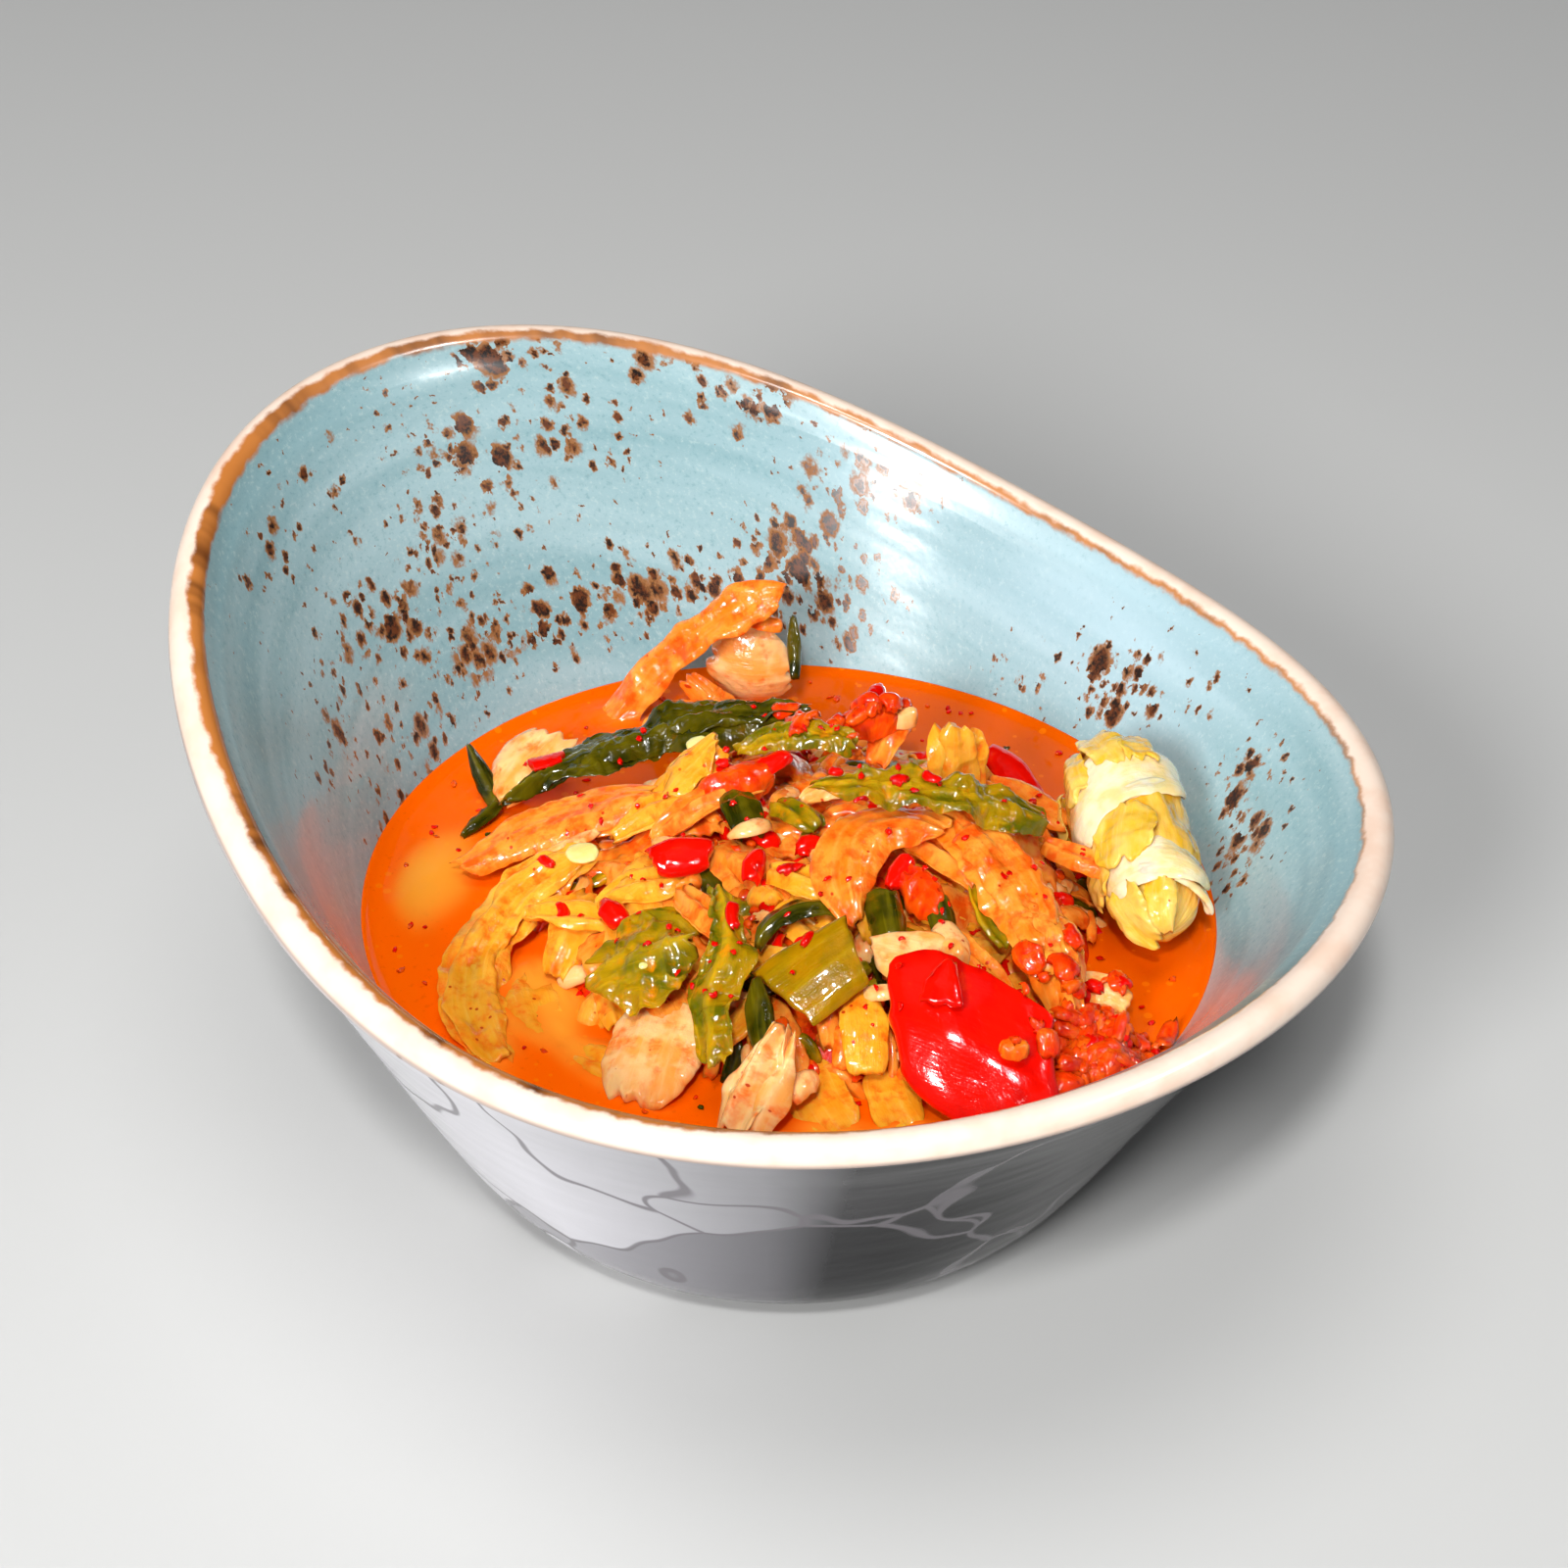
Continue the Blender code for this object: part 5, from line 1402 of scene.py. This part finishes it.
plug(tree, shader, Base_Color=broth_colour, Roughness=0.06, Specular_IOR_Level=0.12, Subsurface_Weight=0.1,
     Subsurface_Scale=0.0015, Subsurface_Radius=(1.0, 0.25, 0.05))
settle(broth, broth_finish, "broth", "broth")

# %% [markdown]
# ## The small things
# Between the large pieces lies what the knife left: short curled shreds, bits of pepper, stem and green,
# chilli flakes and crumbs. Each kind is one mesh. A bit is laid on the heap along a short arc, and rays
# find the surface under each point of that arc, so that it follows the heap. The draws come from one seeded
# source.

# %% Lay bits on a surface
lots = np.random.default_rng(7)
STEEPEST = 0.8            # a bit doesn't hang over a drop deeper than this share of its length


def laid_line(tree, x, y, heading, length, width, turn, hump, lift):
    """A short arc that follows the surface under it, or None where it leaves the surface."""
    way = np.linspace(-0.5, 0.5, 7)
    towards = heading + np.radians(turn) * way
    path = np.cumsum(np.stack([np.cos(towards), np.sin(towards)], -1), axis=0) * length / 6
    landed = [drop(tree, px, py) for px, py in path - path[3] + (x, y)]
    if any(one is None for one in landed):
        return None
    middle = np.array([one[0] for one in landed])
    if np.ptp(middle[:, 2]) > STEEPEST * length:
        return None
    heights = np.pad(middle[:, 2], 1, mode="edge")
    middle[:, 2] = (heights[:-2] + heights[1:-1] + heights[2:]) / 3 + lift - 4 * hump * way ** 2
    up = unit(np.mean([one[1] for one in landed], axis=0) + (0, 0, 0.3))
    side = unit(np.cross(up, np.gradient(middle, axis=0)))
    return {"middle": middle, "side": side, "half": np.full(7, width / 2), "crown": np.full(7, 0.25 * width)}


def spot_on_heap(spread):
    a = lots.uniform(0, 2 * math.pi)
    edge = float(np.interp(a, turns_round, reach_round, period=2 * math.pi))
    reach = edge * math.sqrt(lots.uniform(0, 1)) * spread
    return mound_middle[0] + reach * math.cos(a), mound_middle[1] + reach * math.sin(a)


def shreds(name, finish, count, length, width, thick, tree=None, spread=0.94, lift=0.4, near=None, **look):
    """Many bits of one kind. near, a (right, away, reach) from the seat, gathers them in one place."""
    sheets = []
    while len(sheets) < count:
        x, y = spot_on_heap(spread)
        if near:
            off = lots.normal(0, near[2] / 2, 2)
            x, y = from_seat(near[0] + off[0], near[1] + off[1], 0.0)[:2]
        own = lots.uniform(*length)
        line = laid_line(tree or core_tree, x, y, lots.uniform(0, 2 * math.pi), own, lots.uniform(*width),
                         lots.uniform(-120, 120), lots.uniform(-0.12, 0.16) * own,
                         lift + lots.uniform(-0.5, 0.9))
        if line is None or line["middle"][3][2] < BROTH_TOP - 0.6:
            continue
        seed = int(lots.integers(1, 9999))
        sheets.append(leaf_sheet(line, seed, thick=lots.uniform(*thick), twist=lots.uniform(-50, 50), **look))
    return settle(join_sheets(name, sheets), finish, "kimchi")


LOOSE = {"rows": 12, "columns": 7, "rounding": 0.5, "ends": 4.0, "ragged": 0.25, "ruffle": 0.35,
         "ruffle_size": 1.8, "wrinkle": 0.15, "wrinkle_size": 1.0, "sway": 0.3}
FOLDED = {"rows": 20, "columns": 10, "ragged": 0.24, "ruffle": 0.7, "ruffle_size": 2.6, "wrinkle": 0.25,
          "wrinkle_size": 1.6, "ribs": 0.15, "rib_count": 3, "pleats": 0.35, "pleat_count": 1.5,
          "crowned": 0.5}
FRONT = (34, -30)         # from the seat, where the mash is gathered in front
PEAK = (8, 17)
CRUMB = {"rows": 7, "columns": 5, "rounding": 0.7, "ends": 2.5, "ragged": 0.4, "ruffle": 0.25,
         "ruffle_size": 1.0, "wrinkle": 0.18, "wrinkle_size": 0.8, "sway": 0.4}

wet_tree = mesh_tree(core, broth, *all_pieces)

# %% Cut leaves between the large pieces
shreds("orange_leaves", orange_flesh, 66, (7, 14), (3.5, 7.0), (0.6, 1.0), lift=0.9, **FOLDED)
shreds("yellow_leaves", yellow_flesh, 38, (6, 12), (3.5, 6.5), (0.5, 0.8), lift=1.0, **FOLDED)
shreds("green_leaves", olive_flesh, 12, (5, 9), (2.5, 4.5), (0.4, 0.6), lift=0.9, **FOLDED)

# %% Shreds and bits
shreds("orange_shreds", orange_flesh, 150, (4, 9), (1.3, 3.2), (0.5, 1.0), ribs=0.15, rib_count=2, lift=0.9,
       **LOOSE)
shreds("pale_shreds", pale_flesh, 110, (2.5, 6.5), (1.4, 3.2), (0.7, 1.5), lift=0.9, **LOOSE)
shreds("red_slivers", red_skin, 16, (1.5, 3.6), (1.0, 2.0), (0.4, 0.8), food_tree, near=(0, 0, 24), lift=0.3,
       **LOOSE)
shreds("green_shreds", olive_flesh, 30, (3, 7), (1.2, 2.8), (0.4, 0.7), lift=1.2, **LOOSE)
shreds("dark_shreds", dark_flesh, 22, (3, 7), (1.2, 2.8), (0.4, 0.6), lift=1.2, **LOOSE)
shreds("pepper_bits", red_skin, 100, (1.4, 4.0), (1.1, 2.6), (0.8, 1.4), lift=1.2,
       **{**CRUMB, "rows": 9, "columns": 7})
shreds("mash_crumbs", mash, 320, (0.8, 2.4), (0.7, 1.8), (0.3, 0.8), lift=1.1, **CRUMB)
shreds("peak_mash", mash, 34, (2.0, 5.5), (1.2, 2.6), (0.5, 1.0), wet_tree, near=(*PEAK, 8), lift=0.5,
       **LOOSE)
shreds("front_mash", mash, 90, (2.0, 6.0), (1.4, 3.2), (0.5, 1.1), wet_tree, near=(*FRONT, 7), lift=0.4,
       **LOOSE)
shreds("front_crumbs", mash, 60, (0.8, 2.2), (0.7, 1.6), (0.3, 0.7), wet_tree, near=(*FRONT, 8), lift=0.4,
       **CRUMB)
shreds("front_pepper_bits", red_skin, 34, (1.4, 3.8), (1.1, 2.6), (0.4, 0.8), wet_tree, near=(*FRONT, 8),
       lift=0.5, **CRUMB)

# %% Flakes on everything
shreds("chilli_flakes", red_skin, 150, (0.4, 1.1), (0.3, 0.8), (0.15, 0.3), food_tree, lift=0.1,
       **{**CRUMB, "rows": 6, "columns": 5})


# %% Bits afloat on the broth
def afloat(name, finish, count, size):
    sheets = []
    while len(sheets) < count:
        a = lots.uniform(0, 2 * math.pi)
        r = 0.96 * wall_reach.min() * math.sqrt(lots.uniform(0, 1))
        x, y = -r * math.sin(a), AXIS_Y + r * math.cos(a)
        below = drop(food_tree, x, y)
        if below is not None and below[0][2] > BROTH_TOP - 0.5:
            continue
        own, heading = lots.uniform(*size), lots.uniform(0, 2 * math.pi)
        way = np.linspace(-0.5, 0.5, 5)[:, None] * own
        middle = np.array([x, y, BROTH_TOP + 0.08]) + way * (math.cos(heading), math.sin(heading), 0.0)
        side = np.tile((-math.sin(heading), math.cos(heading), 0.0), (5, 1))
        line = {"middle": middle, "side": side, "half": np.full(5, 0.35 * own), "crown": np.full(5, 0.05)}
        sheets.append(leaf_sheet(line, int(lots.integers(1, 9999)), thick=0.25, **{**CRUMB, "sway": 0.0}))
    return settle(join_sheets(name, sheets), finish, "kimchi")


afloat("floating_flakes", red_skin, 60, (0.4, 1.1))
afloat("floating_crumbs", mash, 50, (0.5, 1.3))
afloat("floating_greens", dark_flesh, 6, (0.6, 1.6))
visible = [o for o in bpy.data.objects if o.type == "MESH" and o.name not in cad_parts]
print("triangles:", sum(len(face.vertices) - 2 for o in visible for face in o.data.polygons))
